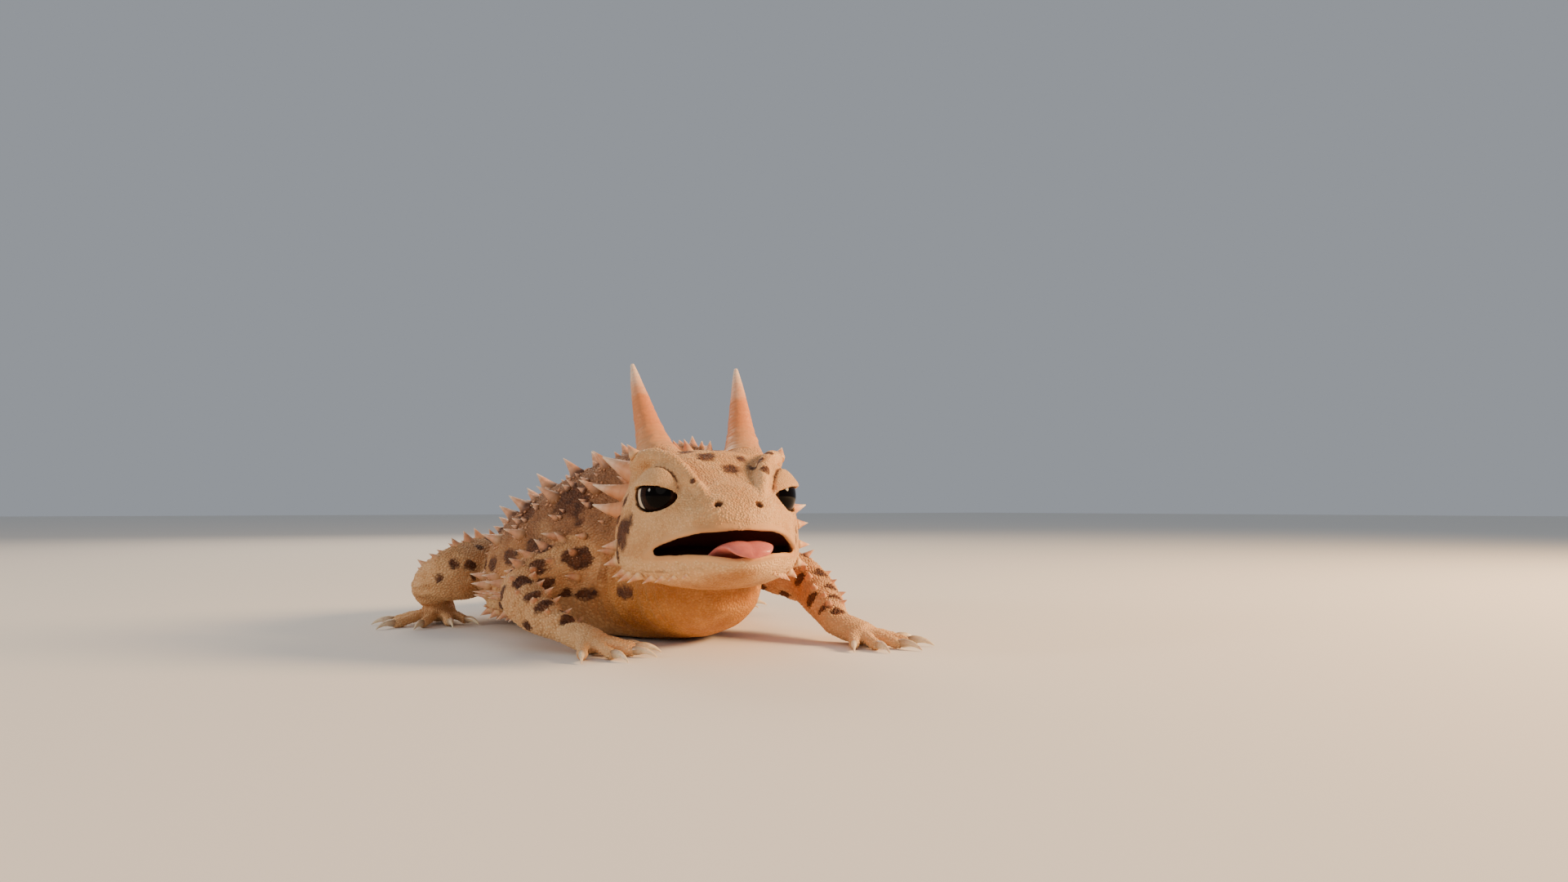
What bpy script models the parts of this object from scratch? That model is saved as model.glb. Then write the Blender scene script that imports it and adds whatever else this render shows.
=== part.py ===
# Horned lizard, life size: belly down on flat ground, forelegs spread, head raised, mouth a little open.
# It faces -Y, its left side is +X, and it rests on z = 0.
# It is modelled in millimetres, and to_metres() brings it to its size in Blender's metres at the end.

import math
import random

import bmesh
import bpy
import numpy as np
from mathutils import Matrix, Vector
from mathutils.bvhtree import BVHTree

METRES_PER_MM = 0.001

# Driving dimensions
SNOUT_TO_VENT = 92.0
TORSO_WIDTH = 53.0
TORSO_HEIGHT = 27.3
HEAD_LENGTH = 28.0
HORN_LENGTH = 20.4
HORN_RADIUS = 3.1
EYE_RADIUS = 4.5
CLAW_LENGTH = 3.6
GAP = 0.3
LID_THICKNESS = 0.8
SPINE_SINK = 0.9
LONG_SPINE = 3.4
SHORTEST_EDGE = 0.03
SEED = 7

SNOUT_Y = -54.0
LEFT, RIGHT = 1, -1
SIDE_NAMES = {LEFT: "left", RIGHT: "right"}

# The head: its base on the neck, its turn towards the right side, and the gape of the jaw about its hinge
HEAD_BASE = Vector((-1.0, -31.0, 22.3))
HEAD_TURN = math.radians(-14)
JAW_HINGE = Vector((10.6, 0, -5.2))
JAW_GAPE = math.radians(11)

# Neck, torso and tail: place along the animal as a share of snout to vent, then half width as a share of
# half the torso's width, then back, rim and belly heights as shares of its height, then the bend to the left in mm
TRUNK = (
    (0.130, 0.150, 0.560, 0.36, 0.240, -0.8),
    (0.170, 0.300, 0.780, 0.40, 0.150, -0.6),
    (0.225, 0.410, 1.120, 0.46, 0.070, -0.4),
    (0.283, 0.480, 1.240, 0.44, 0.020, 0.0),
    (0.348, 0.580, 1.290, 0.40, -0.004, 0.0),
    (0.420, 0.750, 1.275, 0.36, -0.020, 0.0),
    (0.520, 0.930, 1.205, 0.33, -0.030, 0.0),
    (0.630, 1.000, 1.100, 0.31, -0.036, 0.0),
    (0.730, 0.945, 0.980, 0.30, -0.034, 0.0),
    (0.815, 0.790, 0.860, 0.30, -0.022, 0.0),
    (0.885, 0.610, 0.755, 0.30, -0.004, 0.0),
    (0.950, 0.440, 0.630, 0.28, 0.020, 0.1),
    (1.020, 0.335, 0.490, 0.24, 0.026, 0.9),
    (1.100, 0.262, 0.370, 0.19, 0.016, 3.0),
    (1.200, 0.190, 0.268, 0.135, 0.000, 7.2),
    (1.300, 0.125, 0.180, 0.088, -0.006, 12.6),
    (1.400, 0.070, 0.105, 0.050, -0.006, 18.6),
    (1.480, 0.030, 0.050, 0.024, -0.002, 23.4),
)
NECK_START, NECK_END, TORSO_END, TAIL_SPLIT, TAIL_END = 0.130, 0.345, 0.985, 1.22, 1.480

# The skull with the upper jaw, in mm forward of the neck on a head DRAWN_LENGTH long: half width, crown,
# lip line, palate or throat
DRAWN_LENGTH = 24.0
HEAD = (
    (0.0, 8.4, 5.6, -3.0, -6.4),
    (1.3, 10.8, 7.3, -3.8, -8.3),
    (3.6, 12.5, 8.3, -4.6, -9.3),
    (6.4, 13.0, 8.6, -5.1, -9.7),
    (9.4, 12.8, 8.3, -5.2, -10.0),
    (11.2, 12.3, 7.7, -5.05, -10.0),
    (11.6, 12.1, 7.5, -5.0, -9.8),
    (12.1, 11.9, 7.3, -4.9, -3.9),
    (13.5, 11.1, 6.5, -4.3, -2.9),
    (15.5, 10.0, 5.4, -3.3, -1.8),
    (18.0, 8.5, 4.3, -2.2, -0.8),
    (20.5, 6.8, 3.2, -1.5, -0.4),
    (22.4, 4.9, 2.1, -1.2, -0.5),
    (23.5, 3.0, 0.9, -1.25, -0.9),
    (24.0, 1.2, 0.0, -1.4, -1.2),
)
# The lower jaw with the mouth shut: half width, lip line, mouth floor, chin
JAW = (
    (11.0, 12.1, -5.1, -6.6, -10.2),
    (13.2, 11.1, -4.8, -6.6, -9.9),
    (16.0, 9.4, -4.2, -6.0, -9.0),
    (18.7, 7.5, -3.6, -5.2, -7.9),
    (20.9, 5.7, -3.2, -4.5, -6.7),
    (22.4, 4.0, -3.05, -4.05, -5.7),
    (23.2, 2.3, -3.1, -3.8, -4.8),
    (23.5, 1.1, -3.2, -3.7, -4.2),
)
MOUTH_CORNER = 13.2
LIP_RADIUS = 0.5

EYE_CENTRE = Vector((12.2, 7.3, 2.7))
EYE_LOOK = Vector((0.60, 0.80, 0.02))
EYE_OPENING = (4.15, 1.25, 2.8)

# Each leg: joints as x, y, z, half width and half thickness, from inside the body to the wrist or ankle.
# The foot: the same, from its heel to its knuckles. Toes, from the inner one: heading against the foot's in
# degrees, positive outwards, and length.
LEGS = {
    "foreleg_right": {
        "joints": (
            (-6.0, -19.0, 13.5, 5.0, 5.4),
            (-18.0, -15.6, 13.0, 4.7, 5.0),
            (-26.6, -16.2, 9.6, 3.9, 4.1),
            (-27.0, -22.6, 6.4, 3.5, 3.4),
            (-24.0, -29.0, 3.7, 2.6, 2.4),
        ),
        "foot": ((-24.4, -28.0, 3.6, 2.4, 2.1), (-22.4, -31.2, 2.7, 2.9, 2.2), (-20.6, -34.0, 1.9, 3.2, 2.0)),
        "toes": ((-56, 4.6), (-28, 6.4), (-2, 7.6), (24, 7.4), (56, 5.4)),
    },
    "foreleg_left": {
        "joints": (
            (6.0, -19.0, 13.5, 5.0, 5.4),
            (16.4, -21.0, 13.0, 4.7, 5.0),
            (23.4, -28.0, 9.8, 3.9, 4.1),
            (22.4, -36.0, 6.4, 3.5, 3.3),
            (20.4, -42.8, 3.6, 2.6, 2.3),
        ),
        "foot": ((19.9, -41.8, 3.5, 2.4, 2.1), (21.2, -45.4, 2.6, 2.9, 2.2), (22.4, -48.8, 1.9, 3.2, 2.0)),
        "toes": ((-56, 4.6), (-28, 6.6), (-2, 7.8), (24, 7.6), (54, 5.4)),
    },
    "hindleg_right": {
        "joints": (
            (-5.0, 34.0, 10.0, 6.0, 5.6),
            (-17.5, 28.6, 11.3, 6.3, 6.2),
            (-29.6, 16.6, 10.4, 5.0, 5.3),
            (-32.4, 23.4, 7.6, 3.8, 3.7),
            (-28.6, 31.2, 4.2, 2.8, 2.7),
        ),
        "foot": ((-27.4, 31.4, 3.0, 2.2, 2.1), (-29.0, 27.6, 2.6, 2.9, 2.2), (-30.2, 24.2, 1.9, 3.4, 2.0)),
        "toes": ((-44, 4.8), (-14, 6.8), (14, 8.4), (42, 9.2), (84, 6.4)),
    },
    "hindleg_left": {
        "joints": (
            (5.0, 34.0, 10.0, 6.0, 5.6),
            (17.5, 28.0, 11.3, 6.3, 6.2),
            (30.0, 15.6, 10.2, 5.0, 5.3),
            (33.0, 22.4, 7.4, 3.8, 3.7),
            (29.6, 30.4, 4.2, 2.8, 2.7),
        ),
        "foot": ((28.4, 30.8, 3.0, 2.2, 2.1), (30.2, 27.2, 2.6, 2.9, 2.2), (31.8, 24.0, 1.9, 3.4, 2.0)),
        "toes": ((-44, 4.8), (-14, 6.8), (14, 8.4), (40, 9.4), (80, 6.4)),
    },
}
LEG_PIECES = {"foreleg": ("upper_arm", "forearm", "hand"), "hindleg": ("thigh", "shank", "foot")}
ELBOW, WRIST, KNUCKLES = 2, 4, 2

SKIN = ("skin", (0.72, 0.52, 0.33), 0.75)
HORN = ("horn", (0.72, 0.45, 0.30), 0.50)
CLAW = ("claw", (0.78, 0.66, 0.50), 0.45)
EYE = ("eye", (0.03, 0.015, 0.01), 0.08)
TONGUE = ("tongue", (0.78, 0.32, 0.28), 0.35)


def clear_scene():
    for old in list(bpy.data.objects):
        bpy.data.objects.remove(old)


def material(look):
    """One Principled material for each kind of surface."""
    name, colour, roughness = look
    found = bpy.data.materials.get(name)
    if found:
        return found
    made = bpy.data.materials.new(name)
    made.use_nodes = True
    shader = made.node_tree.nodes["Principled BSDF"]
    shader.inputs["Base Color"].default_value = (*colour, 1)
    shader.inputs["Roughness"].default_value = roughness
    return made


def solid(name, points, faces, look=SKIN):
    """A mesh object from points in millimetres."""
    mesh = bpy.data.meshes.new(name)
    mesh.from_pydata([Vector(p) for p in points], [], faces)
    mesh.validate()
    made = bpy.data.objects.new(name, mesh)
    bpy.context.scene.collection.objects.link(made)
    mesh.materials.append(material(look))
    return made


def through(rows, at):
    """Values at a place on the smooth curve through the rows, whose first column rises."""
    rows = np.array(rows, float)
    x, y = rows[:, 0], rows[:, 1:]
    slope = np.gradient(y, x, axis=0)
    i = int(np.clip(np.searchsorted(x, at) - 1, 0, len(x) - 2))
    h = x[i + 1] - x[i]
    t = (at - x[i]) / h
    start, end = y[i], y[i + 1]
    return (
        (2 * t**3 - 3 * t**2 + 1) * start
        + (t**3 - 2 * t**2 + t) * slope[i] * h
        + (3 * t**2 - 2 * t**3) * end
        + (t**3 - t**2) * slope[i + 1] * h
    )


def power(value, exponent):
    return math.copysign(abs(value) ** exponent, value)


def loft(name, rings, look=SKIN):
    """A closed skin over rings of equally many points, with a flat cap at each end."""
    sides = len(rings[0])
    points = [p for ring in rings for p in ring]
    faces = [tuple(range(sides))[::-1]]
    for r in range(len(rings) - 1):
        for k in range(sides):
            a, b = r * sides + k, r * sides + (k + 1) % sides
            faces.append((a, b, b + sides, a + sides))
    faces.append(tuple((len(rings) - 1) * sides + k for k in range(sides)))
    made = solid(name, points, faces, look)
    face_outwards(made)
    return made


def face_outwards(obj):
    shape = bmesh.new()
    shape.from_mesh(obj.data)
    bmesh.ops.recalc_face_normals(shape, faces=shape.faces)
    if shape.calc_volume(signed=True) < 0:
        bmesh.ops.reverse_faces(shape, faces=shape.faces)
    shape.to_mesh(obj.data)
    shape.free()


def apply_modifiers(obj):
    graph = bpy.context.evaluated_depsgraph_get()
    mesh = bpy.data.meshes.new_from_object(obj.evaluated_get(graph))
    obj.modifiers.clear()
    obj.data = mesh


def grown(obj, by=GAP):
    """A copy with every face moved outwards, which cuts a neighbour so that the gap is left."""
    copy = copy_of(obj)
    shape = bmesh.new()
    shape.from_mesh(copy.data)
    shape.normal_update()
    steps = [v.normal * (by * v.calc_shell_factor()) for v in shape.verts]
    for v, step in zip(shape.verts, steps):
        v.co += step
    shape.to_mesh(copy.data)
    shape.free()
    return copy


def combine(obj, pieces, operation):
    """One Boolean step with each piece in turn, which removes the piece."""
    for piece in pieces:
        change = obj.modifiers.new("step", "BOOLEAN")
        change.operation = operation
        change.solver = "MANIFOLD"
        change.object = piece
        apply_modifiers(obj)
        bpy.data.objects.remove(piece)
    keep_largest(obj)


def cut(obj, cutters):
    combine(obj, cutters, "DIFFERENCE")


def fuse(obj, pieces):
    combine(obj, pieces, "UNION")


def copy_of(obj):
    copy = obj.copy()
    copy.data = obj.data.copy()
    bpy.context.scene.collection.objects.link(copy)
    return copy


def triangulated(mesh):
    """The mesh in triangles, by the way that leaves every edge with two faces."""
    for method in ("BEAUTY", "EAR_CLIP"):
        shape = bmesh.new()
        shape.from_mesh(mesh)
        bmesh.ops.triangulate(shape, faces=shape.faces, quad_method="BEAUTY", ngon_method=method)
        if all(len(edge.link_faces) == 2 for edge in shape.edges):
            break
    return shape


def drop_slivers(obj):
    """Closes up the edges too short to matter, wherever that leaves the surface whole."""
    shape = bmesh.new()
    shape.from_mesh(obj.data)
    found = True
    while found:
        found = False
        for edge in list(shape.edges):
            if not edge.is_valid or edge.calc_length() > SHORTEST_EDGE:
                continue
            a, b = edge.verts
            shared = {e.other_vert(a) for e in a.link_edges} & {e.other_vert(b) for e in b.link_edges}
            if len(shared) == 2 and len(edge.link_faces) == 2:
                bmesh.ops.pointmerge(shape, verts=[a, b], merge_co=a.co.copy())
                found = True
    if all(len(edge.link_faces) == 2 for edge in shape.edges):
        shape.to_mesh(obj.data)
    shape.free()


def keep_largest(obj):
    """Drops every closed surface but the one that holds the most."""
    shape = triangulated(obj.data)
    shape.faces.ensure_lookup_table()
    left, groups = set(shape.faces), []
    while left:
        front, found = [left.pop()], set()
        while front:
            face = front.pop()
            found.add(face)
            for edge in face.edges:
                for other in edge.link_faces:
                    if other in left:
                        left.discard(other)
                        front.append(other)
        groups.append(found)

    def volume(faces):
        return sum(f.verts[0].co.dot(f.verts[1].co.cross(f.verts[2].co)) for f in faces)

    groups.sort(key=lambda faces: abs(volume(faces)))
    extra = [face for found in groups[:-1] for face in found]
    bmesh.ops.delete(shape, geom=extra, context="FACES")
    shape.to_mesh(obj.data)
    shape.free()


# Neck, torso and tail


def trunk_point(share, angle):
    """A point on the trunk's surface, at an angle from the left rim up over the back."""
    half, back, rim, belly, bend = through(TRUNK, share)
    step = 0.004
    ahead, behind = through(TRUNK, share + step)[4], through(TRUNK, share - step)[4]
    drift = (ahead - behind) / (2 * step * SNOUT_TO_VENT)
    side = Vector((1, -drift, 0)).normalized()
    across = half * TORSO_WIDTH / 2 * power(math.cos(angle), 0.92)
    lift = math.sin(angle)
    reach = back - rim if lift > 0 else rim - belly
    height = (rim + reach * power(lift, 0.92 if lift > 0 else 0.72)) * TORSO_HEIGHT
    along = SNOUT_Y + share * SNOUT_TO_VENT
    return Vector((bend, along, max(height, 0))) + side * across


def trunk_normal(share, angle):
    step = 0.01
    along = trunk_point(share + step, angle) - trunk_point(share - step, angle)
    around = trunk_point(share, angle + step) - trunk_point(share, angle - step)
    return along.cross(around).normalized()


def trunk_piece(name, start, end, rings, sides):
    shares = [start + (end - start) * k / rings for k in range(rings + 1)]
    angles = [math.tau * (k + 0.5) / sides for k in range(sides)]
    return loft(name, [[trunk_point(s, a) for a in angles] for s in shares])


# Legs


def leg_frame(leg, t, part="joints"):
    """Centre, half sizes and axes of a leg at t, which is 0 at its first joint, 1 at the next and so on."""
    rows = [(k, *joint) for k, joint in enumerate(LEGS[leg][part])]
    here = through(rows, t)
    step = 0.02
    ahead, behind = through(rows, t + step)[:3], through(rows, t - step)[:3]
    forward = Vector(ahead - behind).normalized()
    side = forward.cross(Vector((0, 0, 1))).normalized()
    return Vector(here[:3]), here[3], here[4], forward, side, side.cross(forward)


def leg_point(leg, t, angle, shift=0.0, part="joints"):
    centre, wide, thick, forward, side, up = leg_frame(leg, t, part)
    point = centre + forward * shift
    point += side * (wide * math.cos(angle)) + up * (thick * math.sin(angle))
    point.z = max(point.z, 0)
    return point


def leg_piece(name, leg, start, end, rings, sides, part="joints"):
    """A length of leg between two joints, with half the gap left at the elbow or knee."""
    made = []
    for k in range(rings + 1):
        t = start + (end - start) * k / rings
        shift = 0.0
        if part == "joints" and abs(t - ELBOW) < 0.001:
            shift = GAP / 2 if k == 0 else -GAP / 2
        made.append([leg_point(leg, t, math.tau * (j + 0.5) / sides, shift, part) for j in range(sides)])
    return loft(name, made)


def bent_cone(name, stations, sides, look=SKIN):
    """A solid along centres with radii, closed by a flat root and a flat or pointed tip."""
    rings = []
    for k, (centre, radius) in enumerate(stations):
        before, after = stations[max(k - 1, 0)][0], stations[min(k + 1, len(stations) - 1)][0]
        forward = (Vector(after) - Vector(before)).normalized()
        hint = Vector((0, 0, 1)) if abs(forward.z) < 0.9 else Vector((0, 1, 0))
        side = forward.cross(hint).normalized()
        up = side.cross(forward)
        ring = []
        for j in range(sides):
            angle = math.tau * (j + 0.5) / sides
            ring.append(Vector(centre) + (side * math.cos(angle) + up * math.sin(angle)) * radius)
        rings.append(ring)
    return loft(name, rings, look)


def on_floor(obj):
    """Flattens what would reach under the floor."""
    for vertex in obj.data.vertices:
        vertex.co.z = max(vertex.co.z, 0)


TOE_RADIUS = 1.15
TOE_SIDES = 6


def toe_course(leg, number):
    """Where a toe starts, its heading and length. The middle toes start at the knuckles, the outer ones behind."""
    outwards, length = LEGS[leg]["toes"][number]
    angle = outwards if leg.endswith("left") else -outwards
    centre, wide, _, forward, _, _ = leg_frame(leg, KNUCKLES, "foot")
    level = Vector((forward.x, forward.y, 0)).normalized()
    heading = Matrix.Rotation(math.radians(angle), 3, "Z") @ level
    across = Vector((-level.y, level.x, 0)) * math.sin(math.radians(angle)) * wide * 0.85
    start = Vector((centre.x, centre.y, 0)) + across - level * (1.6 - math.cos(math.radians(angle)))
    return start, heading, length


def toe(leg, number):
    start, heading, length = toe_course(leg, number)
    profile = ((0.0, 1.5, 1.10), (0.3, 1.75, 1.06), (0.62, 1.35, 0.92), (0.86, 0.92, 0.94), (1.0, 0.80, 0.74))
    stations = [
        (start + heading * (length * share) + Vector((0, 0, height)), TOE_RADIUS * width)
        for share, height, width in profile
    ]
    made = bent_cone("toe", stations, TOE_SIDES)
    on_floor(made)
    return made


def claw(name, leg, number):
    """A hooked claw that starts one gap ahead of its toe and comes down to the floor."""
    start, heading, length = toe_course(leg, number)
    profile = ((0.0, 0.86, 0.76), (0.3, 1.06, 0.66), (0.65, 0.86, 0.42), (1.0, 0.22, 0.12))
    size = CLAW_LENGTH * (0.8 + 0.03 * length)
    stations = [
        (start + heading * (length + GAP + size * share) + Vector((0, 0, height)), radius)
        for share, height, radius in profile
    ]
    made = bent_cone(name, stations, 6, CLAW)
    on_floor(made)
    return made


# Head


def head_place(point):
    """A point of the head's own frame, forward, left and up, in the animal's."""
    turned = Matrix.Rotation(HEAD_TURN, 3, "Z") @ Vector((point[1], -point[0], point[2]))
    return HEAD_BASE + turned * (HEAD_LENGTH / DRAWN_LENGTH)


def head_direction(direction):
    return head_place(direction) - HEAD_BASE


def gaped(point):
    """A point of the lower jaw, swung down about the hinge."""
    arm = Vector(point) - JAW_HINGE
    return JAW_HINGE + Matrix.Rotation(JAW_GAPE, 3, "Y") @ arm


def jaw_section(forward, half, lip, upper, lower, square, sides):
    """A ring across the head: the lip line on both sides, an upper edge and a lower edge."""
    ring = []
    for k in range(sides):
        angle = math.tau * k / sides
        rise = math.sin(angle)
        reach = upper - lip if rise > 0 else lower - lip
        ring.append(Vector((forward, half * power(math.cos(angle), square), lip + reach * abs(rise) ** square)))
    return ring


def skull(name, sides, grow=0.0):
    """The head's own form, or the same form moved outwards."""
    places = (0, 0.8, 2.4, 4.6, 6.8, 9.4, 11.2, 11.6, 12.1, 13.6, 15.7, 18, 20.2, 21.8, 23, 23.7, 24)
    rings = []
    for place in places:
        half, crown, lip, _ = through(HEAD, place)
        palate = through(HEAD, place)[3]
        shift = grow if place > 7 else -grow if place == 0 else 0
        ring = jaw_section(place + shift, half + grow, lip, crown + grow, palate - grow, 0.80, sides)
        rings.append([head_place(p) for p in ring])
    return loft(name, rings)


def jaw_rings(sides):
    places = (11.0, 12.0, 13.2, 15.0, 16.9, 18.8, 20.8, 22.3, 23.1, 23.5)
    rings = []
    for place in places:
        half, lip, floor, chin = through(JAW, place)
        ring = jaw_section(place, half, lip, floor, chin, 0.84, sides)
        rings.append([gaped(p) for p in ring])
    return rings


def lip_course(rows, swing, steps=9):
    """Places and radii of the lip, from the left corner of the mouth round the snout to the right one."""
    front = rows[-1][0]
    places = [MOUTH_CORNER + (front - MOUTH_CORNER) * math.sin(math.pi / 2 * k / steps) for k in range(steps + 1)]
    left = []
    for place in places:
        half, lip = through(rows, place)[:2] if swing else np.array(through(rows, place))[[0, 2]]
        point = Vector((place, half - 0.25, lip))
        radius = LIP_RADIUS * min(1, 0.3 + 0.18 * (place - MOUTH_CORNER))
        left.append((gaped(point) if swing else point, radius))
    right = [(Vector((p.x, -p.y, p.z)), radius) for p, radius in reversed(left)]
    return left + right


def eye_place(side):
    return Vector((EYE_CENTRE.x, side * EYE_CENTRE.y, EYE_CENTRE.z))


def ball(name, centre, radius, segments=20, rings=12, squash=(1, 1, 1), look=SKIN):
    bpy.ops.mesh.primitive_uv_sphere_add(segments=segments, ring_count=rings, radius=radius)
    made = bpy.context.object
    made.name = name
    made.data.transform(Matrix.Diagonal((*squash, 1)))
    turn = Matrix.Rotation(HEAD_TURN, 4, "Z")
    made.data.transform(Matrix.Translation(head_place(centre)) @ turn)
    made.data.materials.clear()
    made.data.materials.append(material(look))
    return made


def lid_opening(side):
    """A prism with the outline of the half-shut eye, from the eyeball's centre outwards."""
    wide, above, below = EYE_OPENING
    look = Vector((EYE_LOOK.x, side * EYE_LOOK.y, EYE_LOOK.z)).normalized()
    ahead = Vector((0, 0, 1)).cross(look).normalized()
    upright = look.cross(ahead)
    steps = 16
    outline = []
    for k in range(steps):
        angle = math.tau * k / steps
        rise = math.sin(angle)
        height = above * power(rise, 0.6) if rise > 0 else below * power(rise, 0.85)
        outline.append(ahead * (wide * math.cos(angle)) + upright * height)
    rings = []
    for depth in (0.5, 6.5):
        spread = 0.92 + 0.03 * depth
        rings.append([head_place(eye_place(side) + look * depth + p * spread) for p in outline])
    return loft("lid_opening", rings)


def head_cone(name, stations, sides, look=SKIN):
    return bent_cone(name, [(head_place(centre), radius) for centre, radius in stations], sides, look)


def brow(side):
    """The ridge from the nostril up over the eye to the temple."""
    course = (
        ((21.0, 3.3, 1.6), 0.8),
        ((18.6, 4.3, 3.4), 1.1),
        ((16.0, 5.2, 5.3), 1.2),
        ((13.0, 6.6, 7.2), 1.4),
        ((9.6, 8.6, 8.0), 1.6),
        ((6.4, 9.8, 7.4), 1.8),
        ((4.2, 9.4, 6.3), 1.6),
    )
    return head_cone("brow", [((u, side * v, w), r) for (u, v, w), r in course], 8)


def crest():
    """The thick rear edge of the skull, between the temples."""
    course = ((3.4, 9.6, 5.4), (1.6, 7.4, 6.6), (1.1, 4.0, 7.1), (1.0, 0, 7.2))
    half = [(Vector(p), 1.7) for p in course]
    other = [(Vector((p[0], -p[1], p[2])), 1.7) for p in reversed(course[:-1])]
    return head_cone("crest", half + other, 8)


HORN_ROOT = Vector((3.2, 6.3, 6.9))
HORN_LEAN = Vector((-0.66, 0.14, 0.87))
HORN_SEAM = 0.25


def horn_stations(side, start, end, steps, flare=0.0):
    """The horn's centre line, which leans back and straightens towards its tip, and its radius."""
    root = Vector((HORN_ROOT.x, side * HORN_ROOT.y, HORN_ROOT.z))
    lean = Vector((HORN_LEAN.x, side * HORN_LEAN.y, HORN_LEAN.z)).normalized()
    bow = Vector((0.9, side * -0.5, 0.2))
    stations = []
    for k in range(steps + 1):
        share = start + (end - start) * k / steps
        centre = root + lean * (HORN_LENGTH * share) + bow * (share * share)
        radius = HORN_RADIUS * max(1 - share, 0) ** 0.85 + 0.30 * share
        stations.append((centre, radius + flare * (1 - k / steps)))
    return stations


TEMPLE_HORNS = (
    ((1.8, 8.8, 5.6), (-0.55, 0.76, 0.36), 6.6, 1.90),
    ((3.2, 11.0, 3.0), (-0.42, 0.88, 0.16), 5.2, 1.60),
    ((5.0, 12.1, 0.6), (-0.34, 0.93, 0.08), 4.2, 1.45),
)


def temple_horn(name, side, number):
    (u, v, w), (du, dv, dw), length, radius = TEMPLE_HORNS[number]
    root = Vector((u, side * v, w))
    lean = Vector((du, side * dv, dw)).normalized()
    stations = [
        (root + lean * (length * share) + Vector((0, 0, 0.5 * share * share)), radius * width)
        for share, width in ((-0.45, 1.15), (0.1, 1.0), (0.5, 0.62), (1.0, 0.14))
    ]
    return head_cone(name, stations, 8, HORN)


def make_head(names):
    """Skull, upper jaw, brows and lids in one solid, and the pieces that are set into it."""
    head = skull("head", 24)
    extras = [crest()]
    for side in (LEFT, RIGHT):
        extras.append(brow(side))
        extras.append(ball("lids", eye_place(side), EYE_RADIUS + LID_THICKNESS, 16, 10))
        extras.append(head_cone("horn_boss", horn_stations(side, -0.14, HORN_SEAM, 3, 1.3), 12))
    around = skull("around_head", 24, GAP)
    fuse(around, [grown(extra) for extra in extras])
    extras.append(head_cone("upper_lip", lip_course(HEAD, False), 5))
    fuse(head, extras)
    cutters = []
    for side in (LEFT, RIGHT):
        cutters.append(lid_opening(side))
        cutters.append(ball("socket", eye_place(side), EYE_RADIUS + GAP, 16, 10))
        cutters.append(ball("nostril", (22.2, side * 2.7, 1.35), 0.62, 8, 6, (1, 1, 1.3)))
        cutters.append(ball("ear", (2.4, side * 12.3, -2.9), 1.0, 12, 8, (1.5, 0.8, 2.0)))
    cut(head, cutters)
    jaw = loft("lower_jaw", [[head_place(p) for p in ring] for ring in jaw_rings(20)])
    fuse(jaw, [head_cone("lower_lip", lip_course(JAW, True), 5)])
    tongue = make_tongue()
    cut(jaw, [copy_of(around), grown(tongue)])
    made = {"head": head, "lower_jaw": jaw, "tongue": tongue}
    for side in (LEFT, RIGHT):
        name = names[side]
        made["eye_" + name] = ball("eye_" + name, eye_place(side), EYE_RADIUS, 16, 10, look=EYE)
        seam = HORN_SEAM + GAP / HORN_LENGTH
        made["horn_" + name] = head_cone("horn_" + name, horn_stations(side, seam, 1.0, 8), 12, HORN)
        for number in range(len(TEMPLE_HORNS)):
            label = f"temple_horn_{name}_{number + 1}"
            made[label] = temple_horn(label, side, number)
            cut(made[label], [copy_of(around)])
    return made, around


def make_tongue():
    """A flat tongue that lies in the jaw and over the lower lip."""
    course = (
        ((12.6, 0.0), -6.9, 3.8, 0.8),
        ((15.2, 0.1), -6.6, 4.0, 0.9),
        ((18.6, 0.4), -5.6, 3.9, 0.9),
        ((21.6, 0.6), -4.4, 3.7, 0.85),
        ((23.9, 0.8), -3.95, 3.3, 0.8),
        ((25.3, 0.9), -4.5, 2.6, 0.7),
        ((26.1, 0.95), -5.3, 1.4, 0.4),
    )
    sides = 10
    rings = []
    for k, ((u, v), w, half, thick) in enumerate(course):
        ahead, behind = course[min(k + 1, len(course) - 1)], course[max(k - 1, 0)]
        forward = Vector((ahead[0][0] - behind[0][0], 0, ahead[1] - behind[1])).normalized()
        up = Vector((-forward.z, 0, forward.x))
        ring = []
        for j in range(sides):
            angle = math.tau * j / sides
            offset = Vector((0, half * math.cos(angle), 0)) + up * (thick * math.sin(angle))
            ring.append(head_place(Vector((u, v, w)) + offset))
        rings.append(ring)
    return loft("tongue", rings, TONGUE)


# Spines


def spine(root, lean, length, radius, sides=5):
    """A thorn with a sunk root. A long one narrows in two steps and bends back, a short one is a plain cone."""
    lean = lean.normalized()
    stations = [(root - lean * SPINE_SINK, radius * 1.12), (root + lean * length, 0.09)]
    if length > LONG_SPINE:
        stations[0] = (stations[0][0], radius * 1.2)
        stations[1] = (stations[1][0] + Vector((0, 0.10, 0.06)) * length, 0.09)
        stations.insert(1, (root + lean * (length * 0.42), radius * 0.60))
    return bent_cone("spine", stations, sides)


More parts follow.
